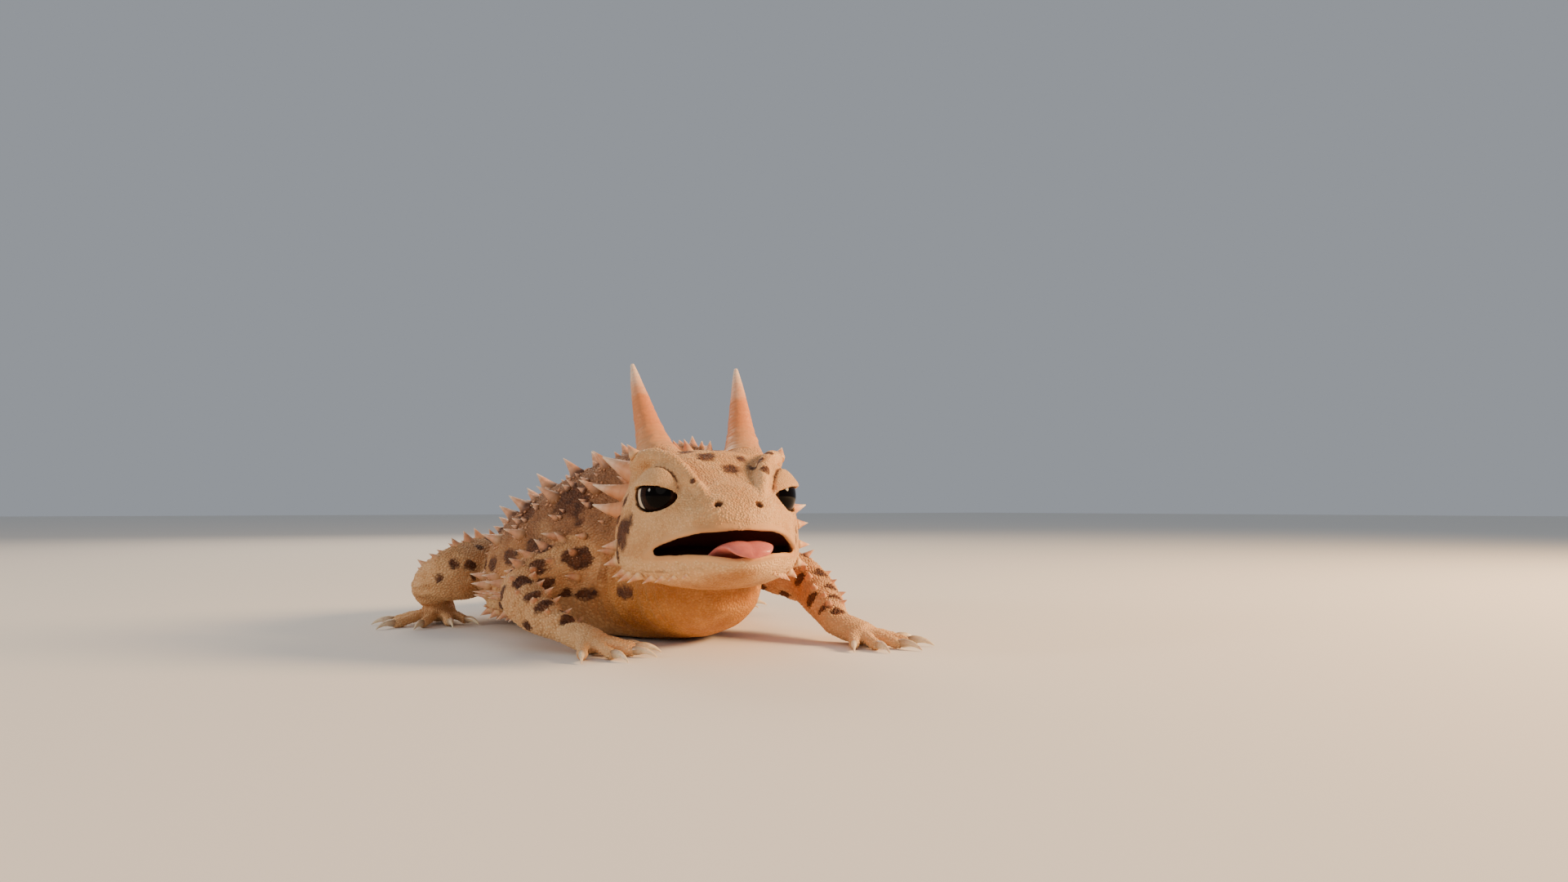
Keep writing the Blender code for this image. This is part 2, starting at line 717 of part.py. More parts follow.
def trunk_spines(draw):
    """Roots, leans, lengths and radii of the thorns on neck, torso and tail, by node."""
    found = {"neck": [], "torso": [], "tail_base": [], "tail_tip": []}

    def add(node, share, degrees, length, radius, back=0.5, lift=0.0):
        share += draw.uniform(-0.006, 0.006)
        angle = math.radians(degrees + draw.uniform(-2.5, 2.5))
        size = draw.uniform(0.88, 1.12)
        lean = trunk_normal(share, angle) + Vector((0, back, lift))
        found[node].append((trunk_point(share, angle), lean, length * size, radius * size))

    def row(node, start, end, count, degrees, length, radius, **lie):
        """One row of thorns on each side, biggest in its middle."""
        for k in range(count):
            t = k / max(count - 1, 1)
            swell = 0.72 + 0.28 * math.sin(math.pi * t)
            for mirrored in (degrees, 180 - degrees):
                add(node, start + (end - start) * t, mirrored, length * swell, radius * swell, **lie)

    row("torso", 0.385, 0.955, 7, 78, 4.8, 1.50)
    row("torso", 0.420, 0.900, 6, 58, 5.0, 1.55)
    row("torso", 0.400, 0.860, 6, 38, 4.6, 1.45)
    row("torso", 0.430, 0.850, 5, 20, 4.2, 1.35)
    row("torso", 0.400, 0.860, 13, 3, 4.0, 1.20, back=0.35, lift=0.15)
    row("torso", 0.440, 0.830, 9, -24, 2.6, 0.95, back=0.35, lift=0.25)
    row("torso", 0.440, 0.900, 4, 69, 2.2, 0.85)
    row("torso", 0.470, 0.840, 4, 48, 2.2, 0.85)
    row("torso", 0.450, 0.810, 4, 29, 2.0, 0.80)
    row("neck", 0.285, 0.325, 2, 76, 3.2, 1.1)
    row("neck", 0.285, 0.325, 2, 44, 4.0, 1.3)
    row("neck", 0.285, 0.325, 2, 12, 4.0, 1.3)
    row("tail_base", 1.015, 1.185, 5, 12, 3.2, 1.05, back=0.45, lift=0.1)
    row("tail_base", 1.010, 1.180, 4, 60, 3.0, 1.0)
    row("tail_tip", 1.250, 1.420, 5, 15, 1.9, 0.68, back=0.45, lift=0.1)
    row("tail_tip", 1.260, 1.380, 3, 65, 1.6, 0.60)
    return found


def leg_spines(draw):
    """Thorns along the front and rear edges of each leg, by node."""
    found = {}
    for leg in LEGS:
        kind, side = leg.split("_")
        upper, lower, _ = LEG_PIECES[kind]
        outward = Vector((1 if side == "left" else -1, 0, 0))
        turn = -1 if side == "left" else 1
        plans = (
            (upper, 1.05, 1.85, 4, 90, 2.6, 0.95),
            (upper, 1.00, 1.80, 3, 90 + 52 * turn, 2.2, 0.85),
            (upper, 1.20, 1.80, 3, 90 - 52 * turn, 2.2, 0.85),
            (lower, 2.20, 3.75, 5, 90 + 28 * turn, 2.2, 0.80),
            (lower, 2.30, 3.60, 4, 90 - 38 * turn, 1.8, 0.72),
        )
        for piece, start, end, count, degrees, length, radius in plans:
            node = f"{piece}_{side}"
            for k in range(count):
                t = start + (end - start) * k / (count - 1)
                angle = math.radians(degrees + draw.uniform(-8, 8))
                root = leg_point(leg, t, angle)
                centre, _, _, forward, _, _ = leg_frame(leg, t)
                lean = (root - centre).normalized() + forward * 0.35 + outward * 0.2
                size = draw.uniform(0.85, 1.15)
                found.setdefault(node, []).append((root, lean, length * size, radius * size))
    return found


def head_spines():
    """Thorns of the nape, brows, cheeks and lower jaw, by node."""
    found = {"head": [], "lower_jaw": []}

    def add(node, place, lean, length, radius):
        for side in (LEFT, RIGHT):
            root = head_place((place[0], side * place[1], place[2]))
            found[node].append((root, head_direction((lean[0], side * lean[1], lean[2])), length, radius))

    add("head", (1.0, 1.5, 8.4), (-0.5, 0.25, 0.8), 2.2, 0.80)
    add("head", (6.6, 10.6, 8.4), (-0.45, 0.45, 0.75), 2.4, 0.95)
    add("head", (6.4, 12.9, -4.2), (-0.3, 0.95, -0.1), 2.6, 0.95)
    add("head", (4.4, 12.3, -6.4), (-0.45, 0.85, -0.3), 2.8, 1.0)
    add("head", (1.6, 10.9, -6.0), (-0.6, 0.75, -0.3), 2.8, 1.0)
    for k in range(5):
        place = 12.6 + 1.8 * k
        half, lip, _, chin = through(JAW, place)
        root = gaped((place, half * 0.90, lip + 0.62 * (chin - lip)))
        add("lower_jaw", root, (-0.25, 0.85, -0.42), 2.6 - 0.36 * k, 0.95 - 0.09 * k)
    return found


def tree_of(obj):
    graph = bpy.context.evaluated_depsgraph_get()
    return BVHTree.FromObject(obj, graph)


def rooted(core, root):
    """The nearest point of the core's surface."""
    return core.find_nearest(root)[0]


def clear_of(trees, points, distance):
    """Whether all points keep the distance from all the trees."""
    for tree in trees:
        for point in points:
            if tree.find_nearest(point)[3] < distance:
                return False
    return True


def add_spines(parts, plans):
    trees = {name: tree_of(obj) for name, obj in parts.items()}
    for node, thorns in plans.items():
        others = [tree for name, tree in trees.items() if name != node]
        made = []
        for root, lean, length, radius in thorns:
            root = rooted(trees[node], root)
            lean = lean.normalized()
            reach = [root - lean * SPINE_SINK] + [root + lean * (length * share) for share in (0.0, 0.35, 0.7, 1.0)]
            if clear_of(others, reach, radius + GAP) and reach[-1].z > GAP:
                made.append(spine(root, lean, length, radius))
        fuse(parts[node], made)


def make_trunk():
    return {
        "neck": trunk_piece("neck", NECK_START, NECK_END, 8, 24),
        "torso": trunk_piece("torso", NECK_END + GAP / SNOUT_TO_VENT, TORSO_END, 18, 26),
        "tail_base": trunk_piece("tail_base", TORSO_END + GAP / SNOUT_TO_VENT, TAIL_SPLIT, 6, 16),
        "tail_tip": trunk_piece("tail_tip", TAIL_SPLIT + GAP / SNOUT_TO_VENT, TAIL_END, 7, 12),
    }


def make_leg(leg, trunk):
    kind, side = leg.split("_")
    upper, lower, foot = (f"{piece}_{side}" for piece in LEG_PIECES[kind])
    made = {
        upper: leg_piece(upper, leg, 0, ELBOW, 6, 12),
        lower: leg_piece(lower, leg, ELBOW, WRIST, 6, 12),
        foot: leg_piece(foot, leg, 0, KNUCKLES, 3, 12, "foot"),
    }
    cut(made[upper], [grown(piece) for piece in trunk])
    palm = grown(made[foot])
    toes = [toe(leg, number) for number in range(len(LEGS[leg]["toes"]))]
    cut(made[lower], [palm] + [grown(piece) for piece in toes + trunk + [made[upper]]])
    fuse(made[foot], toes)
    limb = "fore" if kind == "foreleg" else "hind"
    for number in range(len(toes)):
        name = f"claw_{limb}_{side}_{number + 1}"
        made[name] = claw(name, leg, number)
    return made


def gather(parts):
    """Puts the parts in one collection, under one empty, shaded smooth with their sharp edges kept."""
    group = bpy.data.collections.new("horned_lizard")
    bpy.context.scene.collection.children.link(group)
    root = bpy.data.objects.new("lizard", None)
    group.objects.link(root)
    for obj in parts.values():
        for holder in obj.users_collection:
            holder.objects.unlink(obj)
        group.objects.link(obj)
        obj.parent = root
        obj.data.shade_smooth()
        obj.data.set_sharp_from_angle(angle=math.radians(38))


def to_metres(parts):
    """Stands the middle of the animal's box over the origin, and brings it from millimetres to metres."""
    corners = np.array([v.co for obj in parts.values() for v in obj.data.vertices])
    low, high = corners.min(axis=0), corners.max(axis=0)
    middle = Vector(((low[0] + high[0]) / 2, (low[1] + high[1]) / 2, low[2]))
    for obj in parts.values():
        obj.data.transform(Matrix.Scale(METRES_PER_MM, 4) @ Matrix.Translation(-middle))


def main():
    clear_scene()
    draw = random.Random(SEED)
    parts = make_trunk()
    skull, around_head = make_head(SIDE_NAMES)
    parts.update(skull)
    cut(parts["neck"], [around_head, grown(parts["lower_jaw"])])
    trunk = [parts[name] for name in ("neck", "torso", "tail_base")]
    for leg in LEGS:
        parts.update(make_leg(leg, trunk))
    plans = trunk_spines(draw)
    plans.update(leg_spines(draw))
    plans.update(head_spines())
    add_spines(parts, plans)
    for obj in parts.values():
        keep_largest(obj)
        drop_slivers(obj)
    to_metres(parts)
    gather(parts)


main()
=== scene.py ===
import math
import random

import bmesh
import bpy
import numpy as np
from mathutils import Matrix, Vector, noise
from mathutils.bvhtree import BVHTree


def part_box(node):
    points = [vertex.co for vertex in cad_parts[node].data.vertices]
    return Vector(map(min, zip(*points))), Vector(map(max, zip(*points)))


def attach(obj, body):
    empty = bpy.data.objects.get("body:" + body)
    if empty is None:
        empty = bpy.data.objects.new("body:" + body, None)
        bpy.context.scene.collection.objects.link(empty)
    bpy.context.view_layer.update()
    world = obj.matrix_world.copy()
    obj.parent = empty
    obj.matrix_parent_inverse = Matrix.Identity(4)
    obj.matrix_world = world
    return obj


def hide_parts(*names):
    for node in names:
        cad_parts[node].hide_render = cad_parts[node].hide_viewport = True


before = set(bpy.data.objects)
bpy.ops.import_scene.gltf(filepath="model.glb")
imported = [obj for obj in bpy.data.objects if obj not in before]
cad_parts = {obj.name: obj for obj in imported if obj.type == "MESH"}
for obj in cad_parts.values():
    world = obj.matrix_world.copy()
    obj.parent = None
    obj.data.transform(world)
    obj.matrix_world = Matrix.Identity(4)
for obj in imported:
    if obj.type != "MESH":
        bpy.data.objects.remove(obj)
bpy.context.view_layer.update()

# A horned lizard, life size: one skin over its solids, small scales in their thousands over the skin, and
# thorns, horns, claws, eyes and tongue. Everything is shaped in millimetres as the solids were, and is
# brought to the frame's metres when it is finished.
MM = 0.001
LEFT, RIGHT = 1, -1
SIDE_NAMES = {LEFT: "left", RIGHT: "right"}

# The solids' sizes. The head is drawn 24 long in a frame of its own and brought to its real length.
SNOUT_TO_VENT, SNOUT_Y = 92.0, -54.0
TORSO_WIDTH, TORSO_HEIGHT = 53.0, 27.3
HEAD_LENGTH, DRAWN_LENGTH = 28.0, 24.0
HORN_LENGTH, HORN_RADIUS = 20.4, 3.1
EYE_RADIUS, LID_THICKNESS = 4.5, 0.8
CLAW_LENGTH, TOE_RADIUS = 3.6, 1.15

# The skin: how far it lies inside the solids, the voxels that it is drawn in, and its triangles
SKIN_INSET = 0.16
VOXEL = 0.32
SKIN_TRIANGLES = 185000
# The width of each scale's patch on the baked map, as a share of the map
BAKE_PATCH = 0.003

# How finely each form is drawn: rings along it and points round it
TRUNK_RINGS, TRUNK_SIDES = 120, 72
LEG_RINGS, FOOT_RINGS, LEG_SIDES = 44, 14, 28
TOE_RINGS, TOE_SIDES = 20, 16
SKULL_SIDES, JAW_SIDES, LID_SIDES = 56, 48, 48
LIP_RINGS, LIP_SIDES = 40, 10
TUBE_RINGS, TUBE_SIDES = 36, 16
BOSS_RINGS, BOSS_SIDES = 12, 32
HORN_STATIONS, HORN_SIDES = 150, 40
TEMPLE_STATIONS, TEMPLE_SIDES = 40, 20
CLAW_STATIONS, CLAW_SIDES = 18, 14
TONGUE_RINGS, TONGUE_SIDES = 50, 32
EYE_RINGS, EYE_SIDES = 64, 96

# Where the head's frame starts, its turn to the animal's right, and the jaw's hinge and gape
HEAD_BASE = Vector((-1.0, -31.0, 22.3))
HEAD_TURN = math.radians(-14)
JAW_HINGE = Vector((10.6, 0, -5.2))
JAW_GAPE = math.radians(11)

# Place along the animal as a share of snout to vent, then half width as a share of half the torso's width,
# then back, rim and belly heights as shares of its height, then the bend to the left in mm
TRUNK = (
    (0.130, 0.150, 0.560, 0.36, 0.240, -0.8),
    (0.170, 0.300, 0.780, 0.40, 0.150, -0.6),
    (0.225, 0.410, 1.120, 0.46, 0.070, -0.4),
    (0.283, 0.480, 1.240, 0.44, 0.020, 0.0),
    (0.348, 0.580, 1.290, 0.40, -0.004, 0.0),
    (0.420, 0.750, 1.275, 0.36, -0.020, 0.0),
    (0.520, 0.930, 1.205, 0.33, -0.030, 0.0),
    (0.630, 1.000, 1.100, 0.31, -0.036, 0.0),
    (0.730, 0.945, 0.980, 0.30, -0.034, 0.0),
    (0.815, 0.790, 0.860, 0.30, -0.022, 0.0),
    (0.885, 0.610, 0.755, 0.30, -0.004, 0.0),
    (0.950, 0.440, 0.630, 0.28, 0.020, 0.1),
    (1.020, 0.335, 0.490, 0.24, 0.026, 0.9),
    (1.100, 0.262, 0.370, 0.19, 0.016, 3.0),
    (1.200, 0.190, 0.268, 0.135, 0.000, 7.2),
    (1.300, 0.125, 0.180, 0.088, -0.006, 12.6),
    (1.400, 0.070, 0.105, 0.050, -0.006, 18.6),
    (1.480, 0.030, 0.050, 0.024, -0.002, 23.4),
)
# How round its section is, from side to side and over the back, and under the belly
BACK_ROUND, BELLY_ROUND = 0.92, 0.72

# Skull and upper jaw, mm forward of the neck: half width, crown, lip line, palate or throat
HEAD = (
    (0.0, 8.4, 5.6, -3.0, -6.4),
    (1.3, 10.8, 7.7, -3.8, -8.3),
    (3.6, 12.6, 9.0, -4.6, -9.3),
    (6.4, 13.2, 9.4, -5.1, -9.7),
    (9.4, 13.0, 9.0, -5.3, -10.0),
    (11.2, 12.4, 8.2, -5.4, -10.0),
    (11.6, 12.2, 8.0, -5.4, -9.8),
    (12.1, 12.0, 7.7, -5.6, -4.6),
    (13.5, 11.2, 6.8, -5.7, -4.3),
    (14.4, 10.7, 6.3, -5.1, -3.7),
    (15.5, 10.1, 5.6, -4.3, -2.9),
    (18.0, 8.6, 4.4, -3.15, -1.8),
    (20.5, 6.8, 3.25, -2.3, -1.25),
    (22.4, 4.9, 2.1, -1.8, -1.15),
    (23.5, 3.0, 0.9, -1.65, -1.35),
    (24.0, 1.2, 0.0, -1.6, -1.45),
)

# The lower jaw with the mouth shut: half width, lip line, mouth floor, chin
JAW = (
    (11.0, 12.1, -5.1, -6.6, -10.2),
    (13.2, 11.1, -5.1, -6.8, -9.9),
    (16.0, 9.4, -4.5, -6.2, -9.0),
    (18.7, 7.5, -3.8, -5.3, -7.9),
    (20.9, 5.7, -3.2, -4.5, -6.7),
    (22.4, 4.0, -3.05, -4.05, -5.7),
    (23.2, 2.3, -3.1, -3.8, -4.8),
    (23.5, 1.1, -3.2, -3.7, -4.2),
)

# How round the sections of skull and jaw are
SKULL_ROUND, JAW_ROUND = 0.80, 0.84
# Where the lips meet, forward of the neck, and how thick they are as a radius
MOUTH_CORNER, LIP_RADIUS = 13.8, 0.6
# The left eye's centre and the way out of its socket. Its opening is a half width, then its height above and
# below the middle, and the front corner reaches further by a factor. Bare skin lies within the margin, and is
# painted dark as the shade in the opening's rim.
EYE_CENTRE = Vector((12.2, 7.3, 2.7))
EYE_LOOK = Vector((0.60, 0.80, 0.02))
EYE_OPENING, CANTHUS = (4.15, 1.2, 2.45), 1.14
LID_MARGIN = 0.42
# How far the gaze turns ahead of the socket, and from there to the iris's edge
GAZE_AHEAD, IRIS_EDGE = math.radians(22), math.radians(46)
NOSTRIL = (22.2, 2.7, 1.35)
EAR = (2.4, 12.3, -2.9)

# Each leg: joints as x, y, z, half width and half thickness, the foot from heel to knuckles in the same
# way, and its toes from the inner one, as degrees outwards and length
LEGS = {
    "foreleg_right": {
        "joints": (
            (-6.0, -19.0, 13.5, 5.0, 5.4),
            (-18.0, -15.6, 13.0, 4.7, 5.0),
            (-26.6, -16.2, 9.6, 3.9, 4.1),
            (-27.0, -22.6, 6.4, 3.5, 3.4),
            (-24.0, -29.0, 3.7, 2.6, 2.4),
        ),
        "foot": ((-24.4, -28.0, 3.6, 2.4, 2.1), (-22.4, -31.2, 2.7, 2.9, 2.2), (-20.6, -34.0, 1.9, 3.2, 2.0)),
        "toes": ((-56, 4.6), (-28, 6.4), (-2, 7.6), (24, 7.4), (56, 5.4)),
    },
    "foreleg_left": {
        "joints": (
            (6.0, -19.0, 13.5, 5.0, 5.4),
            (16.4, -21.0, 13.0, 4.7, 5.0),
            (23.4, -28.0, 9.8, 3.9, 4.1),
            (22.4, -36.0, 6.4, 3.5, 3.3),
            (20.4, -42.8, 3.6, 2.6, 2.3),
        ),
        "foot": ((19.9, -41.8, 3.5, 2.4, 2.1), (21.2, -45.4, 2.6, 2.9, 2.2), (22.4, -48.8, 1.9, 3.2, 2.0)),
        "toes": ((-56, 4.6), (-28, 6.6), (-2, 7.8), (24, 7.6), (54, 5.4)),
    },
    "hindleg_right": {
        "joints": (
            (-5.0, 34.0, 10.0, 6.0, 5.6),
            (-17.5, 28.6, 11.3, 6.3, 6.2),
            (-29.6, 16.6, 10.4, 5.0, 5.3),
            (-32.4, 23.4, 7.6, 3.8, 3.7),
            (-28.6, 31.2, 4.2, 2.8, 2.7),
        ),
        "foot": ((-27.4, 31.4, 3.0, 2.2, 2.1), (-29.0, 27.6, 2.6, 2.9, 2.2), (-30.2, 24.2, 1.9, 3.4, 2.0)),
        "toes": ((-44, 4.8), (-14, 6.8), (14, 8.4), (42, 9.2), (84, 6.4)),
    },
    "hindleg_left": {
        "joints": (
            (5.0, 34.0, 10.0, 6.0, 5.6),
            (17.5, 28.0, 11.3, 6.3, 6.2),
            (30.0, 15.6, 10.2, 5.0, 5.3),
            (33.0, 22.4, 7.4, 3.8, 3.7),
            (29.6, 30.4, 4.2, 2.8, 2.7),
        ),
        "foot": ((28.4, 30.8, 3.0, 2.2, 2.1), (30.2, 27.2, 2.6, 2.9, 2.2), (31.8, 24.0, 1.9, 3.4, 2.0)),
        "toes": ((-44, 4.8), (-14, 6.8), (14, 8.4), (40, 9.4), (80, 6.4)),
    },
}
LEG_PIECES = {"foreleg": ("upper_arm", "forearm", "hand"), "hindleg": ("thigh", "shank", "foot")}

# Places along a leg: its last joint, and the knuckles of its foot, counted from the heel
LAST_JOINT, KNUCKLES = 4, 2
# A toe: place along it, height in mm and width as a share of its radius
TOE = (
    (0.0, 1.5, 1.10), (0.18, 1.75, 1.10), (0.30, 1.72, 0.98), (0.45, 1.6, 1.03), (0.62, 1.35, 0.88),
    (0.74, 1.15, 0.90), (0.86, 0.95, 0.93), (0.95, 0.82, 0.80), (1.03, 0.80, 0.55),
)


# Meshes


def new_object(name, points, faces):
    mesh = bpy.data.meshes.new(name)
    mesh.from_pydata([tuple(p) for p in points], [], faces)
    made = bpy.data.objects.new(name, mesh)
    bpy.context.scene.collection.objects.link(made)
    return made


def face_outwards(obj):
    shape = bmesh.new()
    shape.from_mesh(obj.data)
    bmesh.ops.recalc_face_normals(shape, faces=shape.faces)
    if shape.calc_volume(signed=True) < 0:
        bmesh.ops.reverse_faces(shape, faces=shape.faces)
    shape.to_mesh(obj.data)
    shape.free()


def loft(name, rings):
    """A closed skin over rings of equally many points, with a cap at each end."""
    sides = len(rings[0])
    points = [p for ring in rings for p in ring]
    faces = [tuple(range(sides))[::-1]]
    for r in range(len(rings) - 1):
        for k in range(sides):
            a, b = r * sides + k, r * sides + (k + 1) % sides
            faces.append((a, b, b + sides, a + sides))
    faces.append(tuple((len(rings) - 1) * sides + k for k in range(sides)))
    made = new_object(name, points, faces)
    face_outwards(made)
    return made


def through(rows, at):
    """Values at a place on the smooth curve through the rows, whose first column rises."""
    rows = np.array(rows, float)
    x, y = rows[:, 0], rows[:, 1:]
    slope = np.gradient(y, x, axis=0)
    i = int(np.clip(np.searchsorted(x, at) - 1, 0, len(x) - 2))
    h = x[i + 1] - x[i]
    t = (at - x[i]) / h
    start, end = y[i], y[i + 1]
    return (
        (2 * t**3 - 3 * t**2 + 1) * start
        + (t**3 - 2 * t**2 + t) * slope[i] * h
        + (3 * t**2 - 2 * t**3) * end
        + (t**3 - t**2) * slope[i + 1] * h
    )


def column(rows, number, at):
    """One column of the rows read at many places."""
    rows = np.array(rows, float)
    return np.interp(at, rows[:, 0], rows[:, number])


def power(value, exponent):
    return math.copysign(abs(value) ** exponent, value)


def bent_cone(name, stations, sides):
    """A closed round form along centres with radii."""
    rings = []
    for k, (centre, radius) in enumerate(stations):
        before, after = stations[max(k - 1, 0)][0], stations[min(k + 1, len(stations) - 1)][0]
        forward = (Vector(after) - Vector(before)).normalized()
        hint = Vector((0, 0, 1)) if abs(forward.z) < 0.9 else Vector((0, 1, 0))
        side = forward.cross(hint).normalized()
        up = side.cross(forward)
        ring = []
        for j in range(sides):
            angle = math.tau * (j + 0.5) / sides
            ring.append(Vector(centre) + (side * math.cos(angle) + up * math.sin(angle)) * radius)
        rings.append(ring)
    return loft(name, rings)


def smooth_stations(rows, steps):
    """Centres and radii read from the smooth curve through rows of share, x, y, z and radius."""
    first, last = rows[0][0], rows[-1][0]
    made = []
    for k in range(steps + 1):
        x, y, z, radius = through(rows, first + (last - first) * k / steps)
        made.append((Vector((x, y, z)), max(radius, 0.02)))
    return made


def apply_modifiers(obj):
    graph = bpy.context.evaluated_depsgraph_get()
    mesh = bpy.data.meshes.new_from_object(obj.evaluated_get(graph))
    obj.modifiers.clear()
    obj.data = mesh


def combine(obj, pieces, operation):
    for piece in pieces:
        change = obj.modifiers.new("step", "BOOLEAN")
        change.operation = operation
        change.solver = "MANIFOLD"
        change.object = piece
        apply_modifiers(obj)
        bpy.data.objects.remove(piece)


def joined(name, pieces):
    """One object from several, with all their meshes' points kept apart."""
    shape = bmesh.new()
    for piece in pieces:
        shape.from_mesh(piece.data)
        bpy.data.objects.remove(piece)
    mesh = bpy.data.meshes.new(name)
    shape.to_mesh(mesh)
    shape.free()
    made = bpy.data.objects.new(name, mesh)
    bpy.context.scene.collection.objects.link(made)
    return made


def read(items, key, width=3, kind=np.float32):
    values = np.empty(len(items) * width, kind)
    items.foreach_get(key, values)
    return values.reshape(-1, width) if width > 1 else values


def points_of(mesh):
    return read(mesh.vertices, "co").astype(float)


def move_points(mesh, points):
    mesh.vertices.foreach_set("co", points.astype(np.float32).ravel())
    mesh.update()


def store(mesh, name, kind, values, domain="POINT"):
    layer = mesh.attributes.new(name, kind, domain)
    key = {"FLOAT": "value", "INT": "value", "FLOAT_COLOR": "color"}.get(kind, "vector")
    number = np.int32 if kind == "INT" else np.float32
    layer.data.foreach_set(key, np.ascontiguousarray(values, number).ravel())


# Trunk


def trunk_point(share, angle):
    """A point on the trunk's surface, at an angle from the left rim up over the back."""
    half, back, rim, belly, bend = through(TRUNK, share)
    step = 0.004
    ahead, behind = through(TRUNK, share + step)[4], through(TRUNK, share - step)[4]
    drift = (ahead - behind) / (2 * step * SNOUT_TO_VENT)
    side = Vector((1, -drift, 0)).normalized()
    across = half * TORSO_WIDTH / 2 * power(math.cos(angle), BACK_ROUND)
    lift = math.sin(angle)
    reach = back - rim if lift > 0 else rim - belly
    height = (rim + reach * power(lift, BACK_ROUND if lift > 0 else BELLY_ROUND)) * TORSO_HEIGHT
    along = SNOUT_Y + share * SNOUT_TO_VENT
    return Vector((bend, along, max(height, 0))) + side * across


def trunk_normal(share, angle):
    step = 0.01
    along = trunk_point(share + step, angle) - trunk_point(share - step, angle)
    around = trunk_point(share, angle + step) - trunk_point(share, angle - step)
    return along.cross(around).normalized()


def make_trunk():
    shares = np.linspace(TRUNK[0][0], TRUNK[-1][0], TRUNK_RINGS)
    angles = [math.tau * (k + 0.5) / TRUNK_SIDES for k in range(TRUNK_SIDES)]
    return loft("trunk", [[trunk_point(s, a) for a in angles] for s in shares])


# Legs


def leg_frame(leg, t, part="joints"):
    """Centre, half sizes and axes of a leg at t, which is 0 at its first joint, 1 at the next and so on."""
    rows = [(k, *joint) for k, joint in enumerate(LEGS[leg][part])]
    here = through(rows, t)
    step = 0.02
    ahead, behind = through(rows, t + step)[:3], through(rows, t - step)[:3]
    forward = Vector(ahead - behind).normalized()
    side = forward.cross(Vector((0, 0, 1))).normalized()
    return Vector(here[:3]), here[3], here[4], forward, side, side.cross(forward)


def leg_point(leg, t, angle, part="joints"):
    centre, wide, thick, _, side, up = leg_frame(leg, t, part)
    point = centre + side * (wide * math.cos(angle)) + up * (thick * math.sin(angle))
    point.z = max(point.z, 0)
    return point


def leg_loft(leg, part, end, rings):
    angles = [math.tau * (j + 0.5) / LEG_SIDES for j in range(LEG_SIDES)]
    made = []
    for k in range(rings + 1):
        made.append([leg_point(leg, end * k / rings, angle, part) for angle in angles])
    return loft(leg, made)


def toe_course(leg, number):
    """Where a toe starts, its heading and its length."""
    outwards, length = LEGS[leg]["toes"][number]
    angle = outwards if leg.endswith("left") else -outwards
    centre, wide, _, forward, _, _ = leg_frame(leg, KNUCKLES, "foot")
    level = Vector((forward.x, forward.y, 0)).normalized()
    heading = Matrix.Rotation(math.radians(angle), 3, "Z") @ level
    across = Vector((-level.y, level.x, 0)) * math.sin(math.radians(angle)) * wide * 0.85
    start = Vector((centre.x, centre.y, 0)) + across - level * (1.6 - math.cos(math.radians(angle)))
    return start, heading, length


def toe(leg, number):
    """A toe with its two joints thicker than the lengths between them."""
    start, heading, length = toe_course(leg, number)
    rows = []
    for share, height, width in TOE:
        spot = start + heading * (length * share)
        rows.append((share, spot.x, spot.y, height, TOE_RADIUS * width))
    made = bent_cone("toe", smooth_stations(rows, TOE_RINGS), TOE_SIDES)
    for vertex in made.data.vertices:
        vertex.co.z = max(vertex.co.z, 0)
    return made


# Head


def head_place(point):
    """A point of the head's own frame, forward, left and up, in the animal's."""
    turned = Matrix.Rotation(HEAD_TURN, 3, "Z") @ Vector((point[1], -point[0], point[2]))
    return HEAD_BASE + turned * (HEAD_LENGTH / DRAWN_LENGTH)


def head_direction(direction):
    return (head_place(direction) - HEAD_BASE).normalized()


def on_side(side, place):
    """A place or direction given for the left of the head, on the side."""
    return Vector((place[0], side * place[1], place[2]))


def head_coordinates(points):
    """Forward, left and up in the head's own frame, for many points of the animal's."""
    turn = np.array(Matrix.Rotation(-HEAD_TURN, 3, "Z"))
    local = (points - np.array(HEAD_BASE)) @ turn.T * (DRAWN_LENGTH / HEAD_LENGTH)
    return np.stack([-local[:, 1], local[:, 0], local[:, 2]], axis=1)


def gaped(point):
    """A place of the shut jaw, swung down with it."""
    arm = Vector(point) - JAW_HINGE
    return JAW_HINGE + Matrix.Rotation(JAW_GAPE, 3, "Y") @ arm


def jaw_shut(u, w):
    """The reverse for many places: forward and up as they would lie with the mouth shut."""
    ahead, rise = u - JAW_HINGE.x, w - JAW_HINGE.z
    shut_u = JAW_HINGE.x + ahead * math.cos(JAW_GAPE) - rise * math.sin(JAW_GAPE)
    shut_w = JAW_HINGE.z + ahead * math.sin(JAW_GAPE) + rise * math.cos(JAW_GAPE)
    return shut_u, shut_w


def jaw_section(forward, half, lip, upper, lower, square, sides):
    ring = []
    for k in range(sides):
        angle = math.tau * k / sides
        rise = math.sin(angle)
        reach = upper - lip if rise > 0 else lower - lip
        across = half * power(math.cos(angle), square)
        ring.append(Vector((forward, across, lip + reach * abs(rise) ** square)))
    return ring


def skull():
    places = [*np.linspace(0, 9.4, 14), 11.2, 11.6, 12.1, *np.linspace(13.6, 22.4, 20), 23, 23.5, 23.8, 24]
    rings = []
    for place in places:
        half, crown, lip, palate = through(HEAD, place)
        section = jaw_section(place, half, lip, crown, palate, SKULL_ROUND, SKULL_SIDES)
        rings.append([head_place(p) for p in section])
    return loft("skull", rings)


def lower_jaw():
    places = [*np.linspace(11.0, 22.3, 24), 22.8, 23.2, 23.5]
    rings = []
    for place in places:
        half, lip, floor, chin = through(JAW, place)
        section = jaw_section(place, half, lip, floor, chin, JAW_ROUND, JAW_SIDES)
        rings.append([head_place(gaped(p)) for p in section])
    return loft("lower_jaw", rings)


